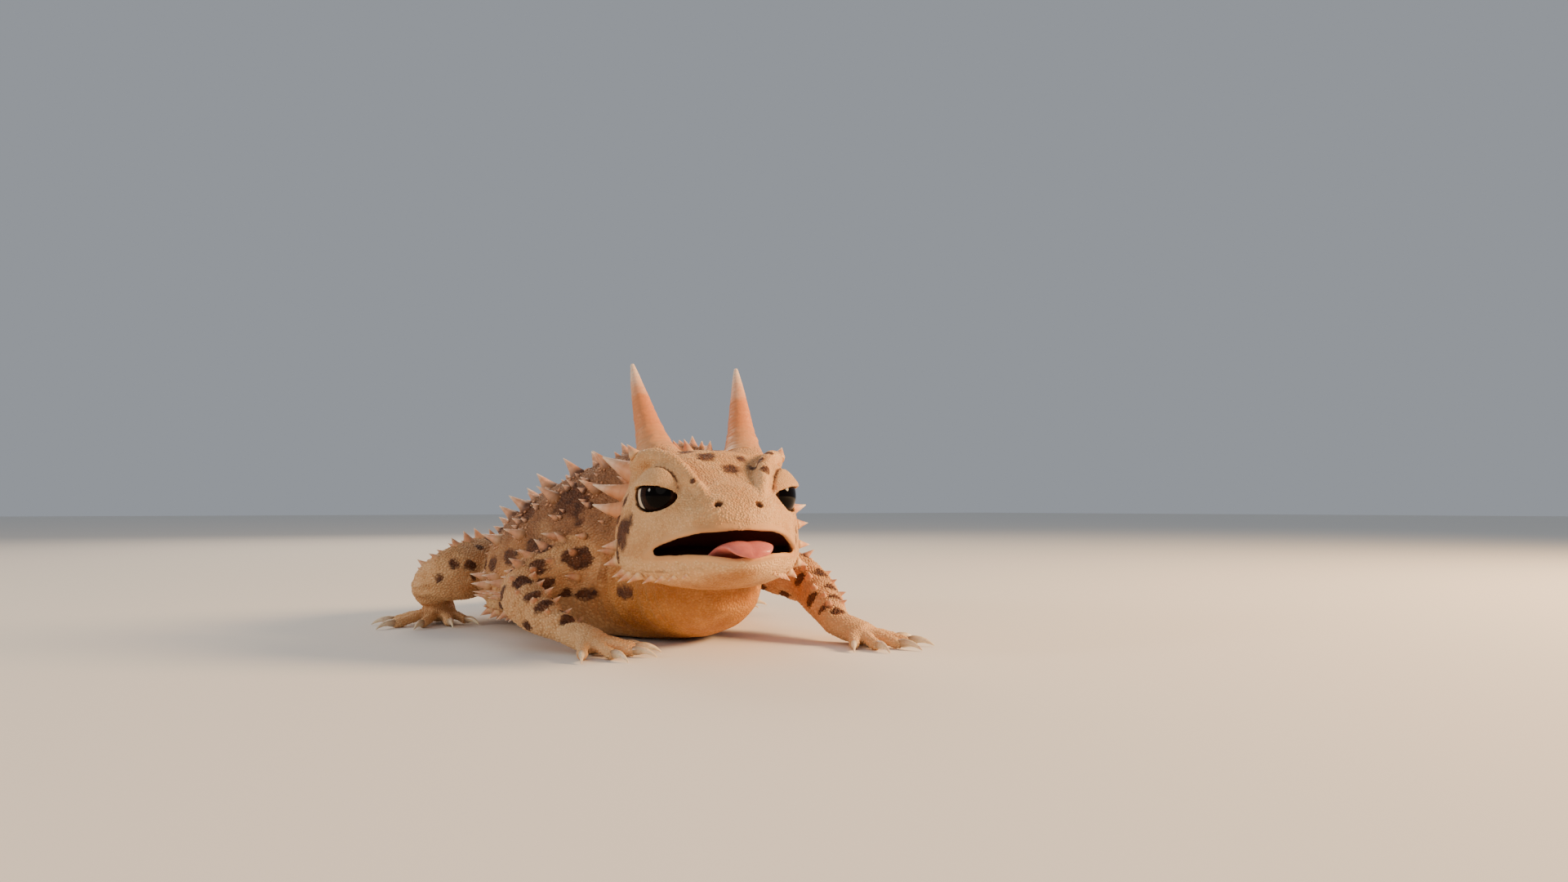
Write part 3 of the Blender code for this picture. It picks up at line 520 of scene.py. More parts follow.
def lip_course(rows, swing):
    """Places and radii of the lip, from the left corner of the mouth round the snout to the right one."""
    front = rows[-1][0]
    left = []
    for k in range(LIP_RINGS + 1):
        place = MOUTH_CORNER + (front - MOUTH_CORNER) * math.sin(math.pi / 2 * k / LIP_RINGS)
        half, lip = through(rows, place)[:2] if swing else np.array(through(rows, place))[[0, 2]]
        point = Vector((place, half - 0.25, lip))
        radius = LIP_RADIUS * min(1, 0.8 + 0.15 * (place - MOUTH_CORNER))
        left.append((gaped(point) if swing else point, radius))
    return left + [(on_side(RIGHT, point), radius) for point, radius in reversed(left[:-1])]


def lip(rows, swing):
    stations = [(head_place(point), radius) for point, radius in lip_course(rows, swing)]
    return bent_cone("lip", stations, LIP_SIDES)


def eye_place(side):
    return on_side(side, EYE_CENTRE)


def eye_axes(side):
    """The eye's directions out, ahead and up, in the animal's frame."""
    look = head_direction(on_side(side, EYE_LOOK))
    ahead = look.cross(Vector((0, 0, 1))).normalized() * side
    return look, ahead, (ahead.cross(look) * side).normalized()


def from_eye(points, side):
    """Each point's way from the eye's centre, its distance, and its angle off the way out of the socket."""
    away = points - np.array(head_place(eye_place(side)))
    distance = np.linalg.norm(away, axis=1)
    look = np.array(eye_axes(side)[0])
    return away, distance, np.arccos(np.clip(away @ look / np.maximum(distance, 0.01), -1, 1))


def ball(name, centre, radius, segments=48, rings=32, squash=(1, 1, 1)):
    """A ball at a place of the head's frame, squashed along that frame."""
    bpy.ops.mesh.primitive_uv_sphere_add(segments=segments, ring_count=rings, radius=radius)
    made = bpy.context.object
    made.name = name
    made.data.transform(Matrix.Diagonal((*squash, 1)))
    made.data.transform(Matrix.Translation(head_place(centre)) @ Matrix.Rotation(HEAD_TURN, 4, "Z"))
    return made


def lid_outline(side):
    """The half-shut eye's outline: a flat upper lid, a round lower one and a low corner in front."""
    wide, above, below = EYE_OPENING
    _, ahead, up = eye_axes(side)
    outline = []
    for k in range(LID_SIDES):
        angle = math.tau * k / LID_SIDES
        rise, front = math.sin(angle), math.cos(angle)
        height = above * power(rise, 0.6) if rise > 0 else below * power(rise, 0.85)
        height *= 1 - 0.28 * max(front, 0) ** 2
        reach = wide * CANTHUS if front > 0 else wide
        outline.append(ahead * (reach * front) + up * (height - 0.55 * max(front, 0) ** 3))
    return outline


def lid_opening(side):
    centre, look = head_place(eye_place(side)), eye_axes(side)[0]
    rings = []
    for depth in (0.3, 2.0, 3.4, 4.0, 5.0, 7.0):
        spread = 0.90 + 0.035 * depth
        rings.append([centre + look * depth + p * spread for p in lid_outline(side)])
    return loft("lid_opening", rings)


def head_tube(rows, side=LEFT):
    """A tube through places of the head's frame with radii, on the side."""
    shares = np.linspace(0, 1, len(rows))
    table = []
    for share, (place, radius) in zip(shares, rows):
        table.append((share, *head_place(on_side(side, place)), radius))
    return bent_cone("tube", smooth_stations(table, TUBE_RINGS), TUBE_SIDES)


# The brow's ridge from the snout back, the fold of skin that closes the mouth's corner between the lips, and
# the crest from the left temple to the middle of the nape, as places with radii
BROW = (
    ((21.0, 3.3, 1.6), 0.8), ((18.6, 4.3, 3.4), 1.1), ((16.0, 5.2, 5.3), 1.2), ((13.0, 6.6, 7.2), 1.4),
    ((9.6, 8.6, 8.0), 1.6), ((6.4, 9.8, 7.4), 1.8), ((4.2, 9.4, 6.3), 1.6),
)
CORNER_FOLD = (
    ((11.2, 10.6, -6.2), 1.3), ((12.4, 10.5, -6.0), 1.2), ((13.4, 10.15, -5.75), 1.0),
    ((14.2, 9.9, -5.55), 0.7), ((14.9, 9.7, -5.45), 0.35),
)
CREST = [((3.4, 9.6, 5.4), 1.7), ((1.6, 7.4, 6.8), 1.7), ((1.1, 4.0, 7.7), 1.8), ((1.0, 0, 8.0), 1.8)]

# The main horn's root, lean and bow to its tip, and how thick its tip is
HORN_ROOT = Vector((3.2, 6.3, 6.9))
HORN_LEAN = Vector((-0.66, 0.14, 0.87))
HORN_BOW = Vector((0.9, -0.5, 0.2))
HORN_TIP = 0.30


def horn_station(side, share):
    root, lean, bow = (on_side(side, v) for v in (HORN_ROOT, HORN_LEAN, HORN_BOW))
    centre = root + lean.normalized() * (HORN_LENGTH * share) + bow * (share * share)
    return head_place(centre), HORN_RADIUS * max(1 - share, 0) ** 0.85 + HORN_TIP * share


def horn_flare(share):
    """How much wider the horn's foot is than its shaft."""
    return 1.2 * max(0.34 - share, 0) + 8 * min(max(0.2 - share, 0), 0.25) ** 1.5


def horn_boss(side):
    """The skin that climbs the horn's foot and thins out over it."""
    stations = []
    for share in np.linspace(-0.14, 0.16, BOSS_RINGS):
        centre, radius = horn_station(side, share)
        stations.append((centre, 1.06 * (radius + horn_flare(share)) + 0.25 + 3.6 * (0.07 - share)))
    return bent_cone("horn_boss", stations, BOSS_SIDES)


# Root, lean, length and radius of each temple horn, and how much wider than that its foot is
TEMPLE_HORNS = (
    ((1.8, 8.8, 5.6), (-0.55, 0.76, 0.36), 6.6, 1.90, 1.28),
    ((3.2, 11.0, 3.0), (-0.42, 0.88, 0.16), 5.2, 1.60, 1.08),
    ((5.0, 12.1, 0.6), (-0.34, 0.93, 0.08), 4.2, 1.45, 1.08),
)


def make_face():
    """Skull, brows, crest, bosses, lids and upper lip in one solid, with its openings cut."""
    face = skull()
    other_half = [(on_side(RIGHT, place), radius) for place, radius in reversed(CREST[:-1])]
    extras = [head_tube(CREST + other_half), lip(HEAD, False)]
    for side in (LEFT, RIGHT):
        extras += [head_tube(BROW, side), horn_boss(side), head_tube(CORNER_FOLD, side)]
        extras.append(ball("lids", eye_place(side), EYE_RADIUS + LID_THICKNESS))
    combine(face, extras, "UNION")
    cutters = []
    for side in (LEFT, RIGHT):
        cutters.append(lid_opening(side))
        cutters.append(ball("socket", eye_place(side), EYE_RADIUS - SKIN_INSET - 0.1))
        cutters.append(ball("nostril", on_side(side, NOSTRIL), 0.62, 16, 12, (1, 1, 1.3)))
        cutters.append(ball("ear", on_side(side, EAR), 1.0, 24, 16, (1.5, 0.8, 2.0)))
    combine(face, cutters, "DIFFERENCE")
    return face


# Skin

# How hard and how often the voxels' steps are evened out, and then the places where forms run together
EVEN_WEIGHT, EVEN_ROUNDS = 0.5, 2
BLEND_WEIGHT, BLEND_ROUNDS = 0.7, 40
# Skin lower than this lies flat on the floor
FLOOR_SNAP = 0.12
# Distance from one fold to the next and their height, in mm
NECK_FOLD, NECK_RISE = 2.6, 0.20
FLANK_FOLD, FLANK_RISE = 2.3, 0.16
# The crease round the orbit, as an angle off the way out of the socket with its half width, and its depth
ORBIT, ORBIT_HALF, ORBIT_DEPTH = 1.10, 0.06, 0.34


def relax(points, edges, weight, rounds):
    """Draws each point towards the middle of its neighbours, by its own weight."""
    a, b = edges[:, 0], edges[:, 1]
    n = len(points)
    count = np.maximum(np.bincount(a, minlength=n) + np.bincount(b, minlength=n), 1)[:, None]
    for _ in range(rounds):
        total = [np.bincount(a, points[b, k], n) + np.bincount(b, points[a, k], n) for k in range(3)]
        points = points + (np.stack(total, axis=1) / count - points) * weight[:, None]
    return points


def near(points, centre, reach):
    """1 at the centre, falling off smoothly with the reach."""
    away = points - np.array(centre)
    return np.exp(-(away * away).sum(axis=1) / (reach * reach))


def smoothstep(low, high, values):
    t = np.clip((values - low) / (high - low), 0, 1)
    return t * t * (3 - 2 * t)


def noise_at(points, size, seed=0.0):
    """Smooth noise of about -1 to 1, with features of the size in millimetres."""
    shift = Vector((seed, seed * 1.7, seed * 0.3))
    return np.array([noise.noise(Vector(p) / size + shift) for p in points])


def joint_weight(points):
    """Where the flesh of two forms runs together: shoulders, hips, wrists, neck and throat."""
    weight = np.zeros(len(points))
    for leg, rows in LEGS.items():
        fore = leg.startswith("fore")
        weight += near(points, rows["joints"][1][:3], 7.5 if fore else 9.0)
        weight += near(points, rows["joints"][0][:3], 9.0)
        weight += 0.6 * near(points, rows["joints"][2][:3], 4.0)
        weight += 0.7 * near(points, rows["foot"][0][:3], 3.4)
        weight += 0.35 * near(points, rows["foot"][2][:3], 3.6)
    for side in (LEFT, RIGHT):
        weight += near(points, head_place((0.5, side * 9, 0)), 5.0)
        weight += near(points, head_place((0.5, side * 6, -7)), 5.5)
        weight += near(points, head_place((11, side * 8, -11.5)), 4.5)
    weight += near(points, head_place((0, 0, 6.0)), 4.5)
    for side in (LEFT, RIGHT):
        weight *= 1 - near(points, head_place(eye_place(side)), 7.5)
    return np.clip(weight, 0, 1)


def folds(points, normals):
    """How far the skin stands out or in: muscle, folds of neck and flanks, and the creases round the eyes."""
    x, y, z = points.T
    share = (y - SNOUT_Y) / SNOUT_TO_VENT
    lump = noise_at(points, 6.0, 3.0) * 0.22 + noise_at(points, 2.6, 9.0) * 0.10
    wander = noise_at(points, 5.0, 5.0)
    neck = smoothstep(0.16, 0.22, share) * (1 - smoothstep(0.33, 0.40, share)) * (z > 1.0)
    ridges = np.cos(math.tau * (y + 0.12 * np.abs(x) + 1.6 * wander) / NECK_FOLD)
    shift = lump + neck * smoothstep(1.5, 6, z) * NECK_RISE * ridges * (1 - smoothstep(22, 27, z))
    flank = smoothstep(0.42, 0.50, share) * (1 - smoothstep(0.80, 0.88, share)) * (np.abs(x) > 14)
    level = np.cos(math.tau * (z + 1.1 * wander + 0.04 * y) / FLANK_FOLD)
    shift = shift + flank * smoothstep(1.0, 3.0, z) * (1 - smoothstep(9, 13, z)) * FLANK_RISE * level
    for side in (LEFT, RIGHT):
        look, _, up = (np.array(v) for v in eye_axes(side))
        away, distance, turn = from_eye(points, side)
        close = (distance < 8.0) & (normals @ look > 0.1)
        rise = away @ up
        shell = np.exp(-(((distance - EYE_RADIUS - LID_THICKNESS) / 0.8) ** 2))
        orbit = np.exp(-(((turn - ORBIT) / ORBIT_HALF) ** 2))
        swell = 0.14 * np.exp(-(((rise - 1.9) / 0.6) ** 2))
        shift = np.where(close, lump * 0.15 * (distance > 6) + shell * (swell - ORBIT_DEPTH * orbit), shift)
    return shift


def make_skin():
    """All the flesh in one closed surface: forms joined, redrawn in voxels, blended, creased and thinned."""
    forms = [make_trunk(), make_face()]
    jaw = lower_jaw()
    combine(jaw, [lip(JAW, True)], "UNION")
    forms.append(jaw)
    for leg, rows in LEGS.items():
        forms.append(leg_loft(leg, "joints", LAST_JOINT, LEG_RINGS))
        forms.append(leg_loft(leg, "foot", KNUCKLES, FOOT_RINGS))
        forms += [toe(leg, number) for number in range(len(rows["toes"]))]
    skin = joined("skin", forms)
    change = skin.modifiers.new("redraw", "REMESH")
    change.mode = "VOXEL"
    change.voxel_size = VOXEL
    apply_modifiers(skin)
    mesh = skin.data
    points = points_of(mesh)
    edges = read(mesh.edges, "vertices", 2, np.int32)
    points = relax(points, edges, np.full(len(points), EVEN_WEIGHT), EVEN_ROUNDS)
    points = relax(points, edges, joint_weight(points) * BLEND_WEIGHT, BLEND_ROUNDS)
    points[:, 2] = np.where(points[:, 2] < FLOOR_SNAP, 0.0, points[:, 2])
    move_points(mesh, points)
    normals = read(mesh.vertex_normals, "vector").astype(float)
    points = points + normals * (folds(points, normals) - SKIN_INSET)[:, None]
    points[:, 2] = np.maximum(points[:, 2], 0)
    move_points(mesh, points)
    change = skin.modifiers.new("thin", "DECIMATE")
    change.ratio = min(1.0, SKIN_TRIANGLES / (2 * len(mesh.polygons)))
    apply_modifiers(skin)
    skin.data.shade_smooth()
    return skin


# Where everything is on the skin: which part a point belongs to, and which way its scales lie

BELLY, BACK, RUMP, TAIL, FORELEG, HINDLEG, FOOT, CROWN, CHEEK, THROAT, LID, BARE = range(12)
# Where the trunk's regions start or end along it, and below which angle, in degrees, belly and throat lie
RUMP_START, TAIL_START, THROAT_END = 0.60, 0.99, 0.34
BELLY_ANGLE, THROAT_ANGLE = -28, -8
# Where the foot's scales start along a leg, and where its last toe ends
FOOT_START, TOE_END = 4.15, 6
# Within this distance of the eye's centre and angle off its axis lie the lids
LID_REACH, LID_ANGLE = 5.9, 1.3
# Farther than any point is from what it is measured against
FAR = 99.0


def leg_samples(leg):
    """Centres, radii, directions and places along a leg, its foot and its toes."""
    rows = []
    for t in np.linspace(0, LAST_JOINT, 61):
        centre, wide, thick, forward, _, _ = leg_frame(leg, t)
        rows.append((*centre, (wide + thick) / 2, *forward, t))
    for t in np.linspace(0, KNUCKLES, 15):
        centre, wide, thick, forward, _, _ = leg_frame(leg, t, "foot")
        rows.append((*centre, (wide + thick) / 2, *forward, LAST_JOINT + t / KNUCKLES))
    for number in range(len(LEGS[leg]["toes"])):
        start, heading, length = toe_course(leg, number)
        for share in np.linspace(0.1, 1, 8):
            spot = start + heading * (length * share)
            rows.append((spot.x, spot.y, 1.0, TOE_RADIUS, *heading, LAST_JOINT + 1 + share))
    return np.array(rows)


def leg_field(points):
    """For each point, the nearest leg's number, distance against its radius, direction and place along it."""
    n = len(points)
    best, number = np.full(n, FAR), np.zeros(n, int)
    lie, place = np.zeros((n, 3)), np.zeros(n)
    for k, leg in enumerate(LEGS):
        rows = leg_samples(leg)
        low, high = rows[:, :3].min(axis=0) - 7, rows[:, :3].max(axis=0) + 7
        inside = np.flatnonzero(((points > low) & (points < high)).all(axis=1))
        for part in np.array_split(inside, 12):
            away = points[part, None, :] - rows[None, :, :3]
            ratio = np.linalg.norm(away, axis=2) / rows[None, :, 3]
            at = ratio.argmin(axis=1)
            found = ratio[np.arange(len(part)), at]
            nearer = found < best[part]
            chosen = part[nearer]
            best[chosen] = found[nearer]
            number[chosen] = k
            lie[chosen] = rows[at[nearer], 4:7]
            place[chosen] = rows[at[nearer], 7]
    return best, number, lie, place


def mouth_depth(local):
    """How deep a point of the head lies inside the open mouth, below 0 outside it."""
    u, v, w = local.T
    shut_u, shut_w = jaw_shut(u, w)
    above = shut_w - (column(JAW, 3, shut_u) - 0.35)
    below = column(HEAD, 4, np.maximum(u, 12.2)) + 0.6 - w
    inside = np.minimum(column(HEAD, 1, u), column(JAW, 1, shut_u)) - 0.75 - np.abs(v)
    return np.minimum.reduce([above, below, inside, u - 11.3, 22.9 - u, 22.4 - shut_u])


def lip_distance(points):
    """How far each point lies from the middle of the nearest lip."""
    nearest = np.full(len(points), FAR)
    for place, _ in lip_course(HEAD, False) + lip_course(JAW, True):
        nearest = np.minimum(nearest, np.linalg.norm(points - np.array(head_place(place)), axis=1))
    return nearest


class Field:
    """What is known of each point of the skin."""

    def __init__(self, mesh):
        self.points = points_of(mesh)
        self.normals = read(mesh.vertex_normals, "vector").astype(float)
        points = self.points
        self.local = head_coordinates(points)
        self.share = (points[:, 1] - SNOUT_Y) / SNOUT_TO_VENT
        half = column(TRUNK, 1, self.share) * TORSO_WIDTH / 2
        back, rim, belly = (column(TRUNK, k, self.share) * TORSO_HEIGHT for k in (2, 3, 4))
        bend = column(TRUNK, 5, self.share)
        rise = points[:, 2] - rim
        reach = np.where(rise > 0, back - rim, rim - np.minimum(belly, 0))
        across = (points[:, 0] - bend) / half
        self.angle = np.degrees(np.arctan2(rise / reach, across))
        trunk_ratio = np.hypot(across, rise / reach)
        leg_ratio, self.leg, leg_lie, self.t = leg_field(points)
        u, v, w = self.local.T
        chin = column(JAW, 4, u) - np.maximum(u - JAW_HINGE.x, 0) * math.tan(JAW_GAPE) - 1.1
        chin = np.where(u < 11, -10.9, chin)
        self.head = (u > 0.6) & (np.abs(v) < 15.5) & (w > chin)
        self.limb = ~self.head & (leg_ratio < trunk_ratio + 0.12) & (leg_ratio < 1.7)
        depth = np.where(self.head, mouth_depth(self.local), -9)
        lips = lip_distance(points)
        self.mouth = smoothstep(-0.15, 0.25, depth) * smoothstep(LIP_RADIUS - 0.1, LIP_RADIUS + 0.1, lips)
        self.region = self.regions(u, w, lips)
        self.lie = self.directions(leg_lie)

    def regions(self, u, w, lips):
        n = len(self.points)
        region = np.full(n, BACK)
        region[self.share > RUMP_START] = RUMP
        region[self.angle < BELLY_ANGLE] = BELLY
        region[self.share > TAIL_START] = TAIL
        region[(self.share < THROAT_END) & (self.angle < THROAT_ANGLE)] = THROAT
        region[self.limb] = np.where(self.leg < 2, FORELEG, HINDLEG)[self.limb]
        region[self.limb & (self.t > FOOT_START)] = FOOT
        up = self.normals[:, 2]
        region[self.head] = CHEEK
        region[self.head & (up > 0.45) & (w > 0.5)] = CROWN
        region[self.head & (u > 19.5) & (w > -0.4)] = CROWN
        region[self.head & (up < -0.35) & (w < -4)] = THROAT
        for side in (LEFT, RIGHT):
            _, distance, turn = from_eye(self.points, side)
            region[self.head & (distance < LID_REACH) & (turn < LID_ANGLE)] = LID
            region[self.head & (distance < EYE_RADIUS + LID_MARGIN)] = BARE
        region[(self.mouth > 0.2) | (lips < LIP_RADIUS + 0.12)] = BARE
        # Nostrils and ears, to be painted dark as the shade inside them
        self.painted_hollow_shade = np.zeros(n)
        for place, reach in ((NOSTRIL, 0.75), (EAR, 1.3)):
            for side in (LEFT, RIGHT):
                close = near(self.points, head_place(on_side(side, place)), reach)
                region[close > 0.35] = BARE
                self.painted_hollow_shade = np.maximum(self.painted_hollow_shade, smoothstep(0.3, 0.5, close) * self.head)
        region[self.points[:, 2] < 0.05] = BARE
        return region

    def directions(self, leg_lie):
        """Backwards over head and trunk and a little down its sides, and out along each leg."""
        n = len(self.points)
        lie = np.tile(np.array((0.0, 1.0, 0.0)), (n, 1))
        step = 0.01
        bend = column(TRUNK, 5, self.share + step) - column(TRUNK, 5, self.share - step)
        lie[:, 0] = bend / (2 * step * SNOUT_TO_VENT)
        lie[:, 2] = np.where((self.angle > 0) & (self.angle < 180), -0.25, 0)
        lie[self.head] = np.array(head_direction((-1, 0, 0)))
        lie[self.limb] = leg_lie[self.limb]
        lie -= self.normals * (lie * self.normals).sum(axis=1)[:, None]
        length = np.maximum(np.linalg.norm(lie, axis=1), 0.001)
        return lie / length[:, None]

    def unwrap(self):
        """The skin laid out flat by its own shape: trunk, head and legs, each in a field of its own."""
        around = (self.angle + 90) % 360 / 360
        u = np.clip((self.share - 0.13) / 1.36, 0, 1)
        flat = np.stack([0.02 + 0.96 * u, 0.02 + 0.40 * around], axis=1)
        turn = (np.degrees(np.arctan2(self.local[:, 2] + 2, self.local[:, 1])) + 90) % 360 / 360
        depth = np.clip(self.local[:, 0] / 25, 0, 1)
        inner = np.where(self.mouth > 0.3, 0.24, 0)
        head = np.stack([0.02 + 0.44 * depth, 0.46 + 0.24 * turn + inner], axis=1)
        flat = np.where(self.head[:, None], head, flat)
        centre = np.zeros_like(self.points)
        for k, leg in enumerate(LEGS):
            mine = self.limb & (self.leg == k)
            rows = leg_samples(leg)
            place = np.clip(self.t[mine], 0, TOE_END)
            order = rows[:, 7].argsort()
            for axis in range(3):
                centre[mine, axis] = np.interp(place, rows[order, 7], rows[order, axis])
        away = self.points - centre
        side = np.cross(self.lie, (0.0, 0.0, 1.0))
        turn = (np.degrees(np.arctan2(away[:, 2], (away * side).sum(axis=1))) + 90) % 360 / 360
        legs = np.stack([0.50 + 0.48 * self.t / TOE_END, 0.46 + 0.13 * self.leg + 0.12 * turn], axis=1)
        return np.where(self.limb[:, None], legs, flat)


# Markings: rounded dark brown blotches on cream, a darker mantle on the back with a pale line down its
# middle, and a warm tan throat, partly its own colour and partly painted bounce light. Painted shade darkens
# the nostrils, the ears, the rims of the lids' openings and the inside of the mouth.

# Place along the trunk, degrees up from the left rim, half length and half width in mm, on both sides
TRUNK_BLOTCHES = (
    (0.440, 36, 4.8, 3.3), (0.345, 60, 3.2, 2.8), (0.520, 66, 4.2, 3.2), (0.650, 65, 4.4, 3.2),
    (0.780, 63, 3.8, 2.8), (0.890, 58, 2.8, 2.0), (0.575, 36, 3.8, 2.6), (0.700, 34, 3.6, 2.4),
    (0.820, 30, 3.0, 2.0), (0.482, 15, 2.8, 1.9), (0.550, 12, 2.4, 1.7), (0.625, 10, 2.6, 1.7),
    (0.705, 10, 2.4, 1.6), (0.785, 8, 2.2, 1.5), (0.378, 8, 2.2, 2.2), (0.399, 24, 1.0, 0.9),
    (0.372, -6, 2.4, 1.2), (0.285, 20, 2.4, 2.0), (0.290, -8, 2.0, 1.5), (0.470, -18, 1.5, 1.0),
    (0.590, -16, 1.5, 1.0), (0.860, 4, 1.8, 1.2), (0.990, 60, 2.2, 2.2), (1.070, 66, 2.0, 2.4),
    (1.150, 66, 1.8, 2.2), (1.235, 68, 1.5, 1.8), (1.320, 70, 1.3, 1.5), (1.400, 70, 1.1, 1.1),
    (1.035, 20, 1.4, 1.1), (1.110, 16, 1.3, 1.0), (1.190, 18, 1.1, 0.9),
)
# Forward, left and up in the head's frame, half length and half width
HEAD_BLOTCHES = (
    (14.0, 1.2, 6.4, 1.6, 1.6), (10.8, -1.5, 8.2, 1.6, 1.7), (11.0, 3.7, 8.0, 1.4, 1.2),
    (7.4, 0.4, 9.2, 1.8, 1.5), (7.6, -3.6, 9.0, 1.6, 1.2), (15.9, 5.6, 6.1, 1.0, 0.9),
    (13.4, 5.0, 7.2, 1.1, 0.8), (11.6, 7.4, 8.6, 0.9, 0.9), (18.0, -5.1, 4.5, 0.6, 0.5),
    (7.0, -7.0, 9.4, 0.9, 0.8), (7.6, -12.9, 2.0, 0.8, 1.1), (5.4, -13.2, 0.0, 1.0, 2.4),
    (9.0, -12.9, -2.6, 2.3, 2.5), (7.0, -13.0, -5.4, 1.7, 1.6), (10.8, -12.4, -0.8, 1.0, 1.3),
    (3.4, 12.2, 0.2, 1.3, 2.5), (6.8, 12.8, -2.0, 2.4, 2.3), (5.4, 12.6, -4.7, 1.4, 1.4),
    (6.0, 12.2, 3.0, 0.8, 1.0), (14.2, 10.6, -3.6, 0.6, 1.1), (13.0, 10.9, -2.0, 0.5, 0.9),
    (3.4, -11.8, -8.6, 1.6, 1.0), (3.4, 11.8, -8.6, 1.6, 1.0),
)
# Place along the leg, degrees round it, half length and half width
LEG_BLOTCHES = {
    "foreleg": (
        (0.85, 70, 1.9, 1.5), (1.05, 150, 1.9, 1.3), (1.27, -122, 1.3, 1.5), (1.35, 95, 1.7, 1.6),
        (1.40, 30, 1.7, 1.3), (1.62, 140, 1.9, 1.5), (1.80, -121, 1.2, 1.3), (1.85, 60, 1.6, 2.1),
        (2.47, 76, 1.5, 1.9), (2.30, 10, 1.2, 1.5), (2.35, 150, 1.1, 1.4), (3.00, 68, 1.1, 1.8),
        (3.13, 157, 1.1, 1.6), (3.40, 63, 0.9, 2.2), (3.73, 134, 0.8, 1.6), (4.00, 89, 1.0, 1.6),
        (3.30, -30, 0.9, 1.1),
    ),
    "hindleg": (
        (0.55, 95, 1.7, 1.5), (0.85, 60, 1.5, 1.2), (0.95, 130, 1.4, 1.1), (1.20, 95, 1.5, 1.2),
        (1.35, 158, 1.2, 1.0), (1.45, 50, 1.4, 1.1), (1.67, 123, 1.3, 1.1), (1.85, 70, 1.2, 1.0),
        (1.95, -175, 0.9, 0.8), (2.07, 150, 1.0, 1.2), (2.20, 180, 0.8, 1.0), (2.45, 90, 0.9, 2.0),
        (2.80, 120, 0.9, 1.6), (3.25, 80, 0.7, 1.7), (3.65, 100, 0.7, 1.5),
    ),
}


def blotch_spots():
    """Every blotch as a centre, the direction of its length, and its two half sizes."""
    spots = []
    for share, degrees, long, wide in TRUNK_BLOTCHES:
        for mirrored in (degrees, 180 - degrees):
            angle = math.radians(mirrored)
            centre, normal = trunk_point(share, angle), trunk_normal(share, angle)
            spots.append((centre, Vector((0, 1, 0)), normal, long, wide))
    axis = head_place((8, 0, 1))
    back = head_direction((-1, 0, 0))
    for *place, long, wide in HEAD_BLOTCHES:
        centre = head_place(place)
        spots.append((centre, back, (centre - axis).normalized(), long, wide))
    for leg in LEGS:
        kind = leg.split("_")[0]
        for t, degrees, long, wide in LEG_BLOTCHES[kind]:
            mirrored = degrees if leg.endswith("right") else 180 - degrees
            point = leg_point(leg, t, math.radians(mirrored))
            centre, _, _, forward, _, _ = leg_frame(leg, t)
            spots.append((point, forward, (point - centre).normalized(), long, wide))
    return spots


def jaw_share(local):
    """How far down the side of the jaw or throat a point of the head lies: 0 at the lip, 1 at the chin."""
    u, w = local[:, 0], local[:, 2]
    shut_u, shut_w = jaw_shut(u, w)
    jaw_lip, chin = column(JAW, 2, shut_u), column(JAW, 4, shut_u)
    lip_line, throat = column(HEAD, 3, u), column(HEAD, 4, u)
    return np.where(u > 11.5, (jaw_lip - shut_w) / (jaw_lip - chin), (lip_line - w) / (lip_line - throat))


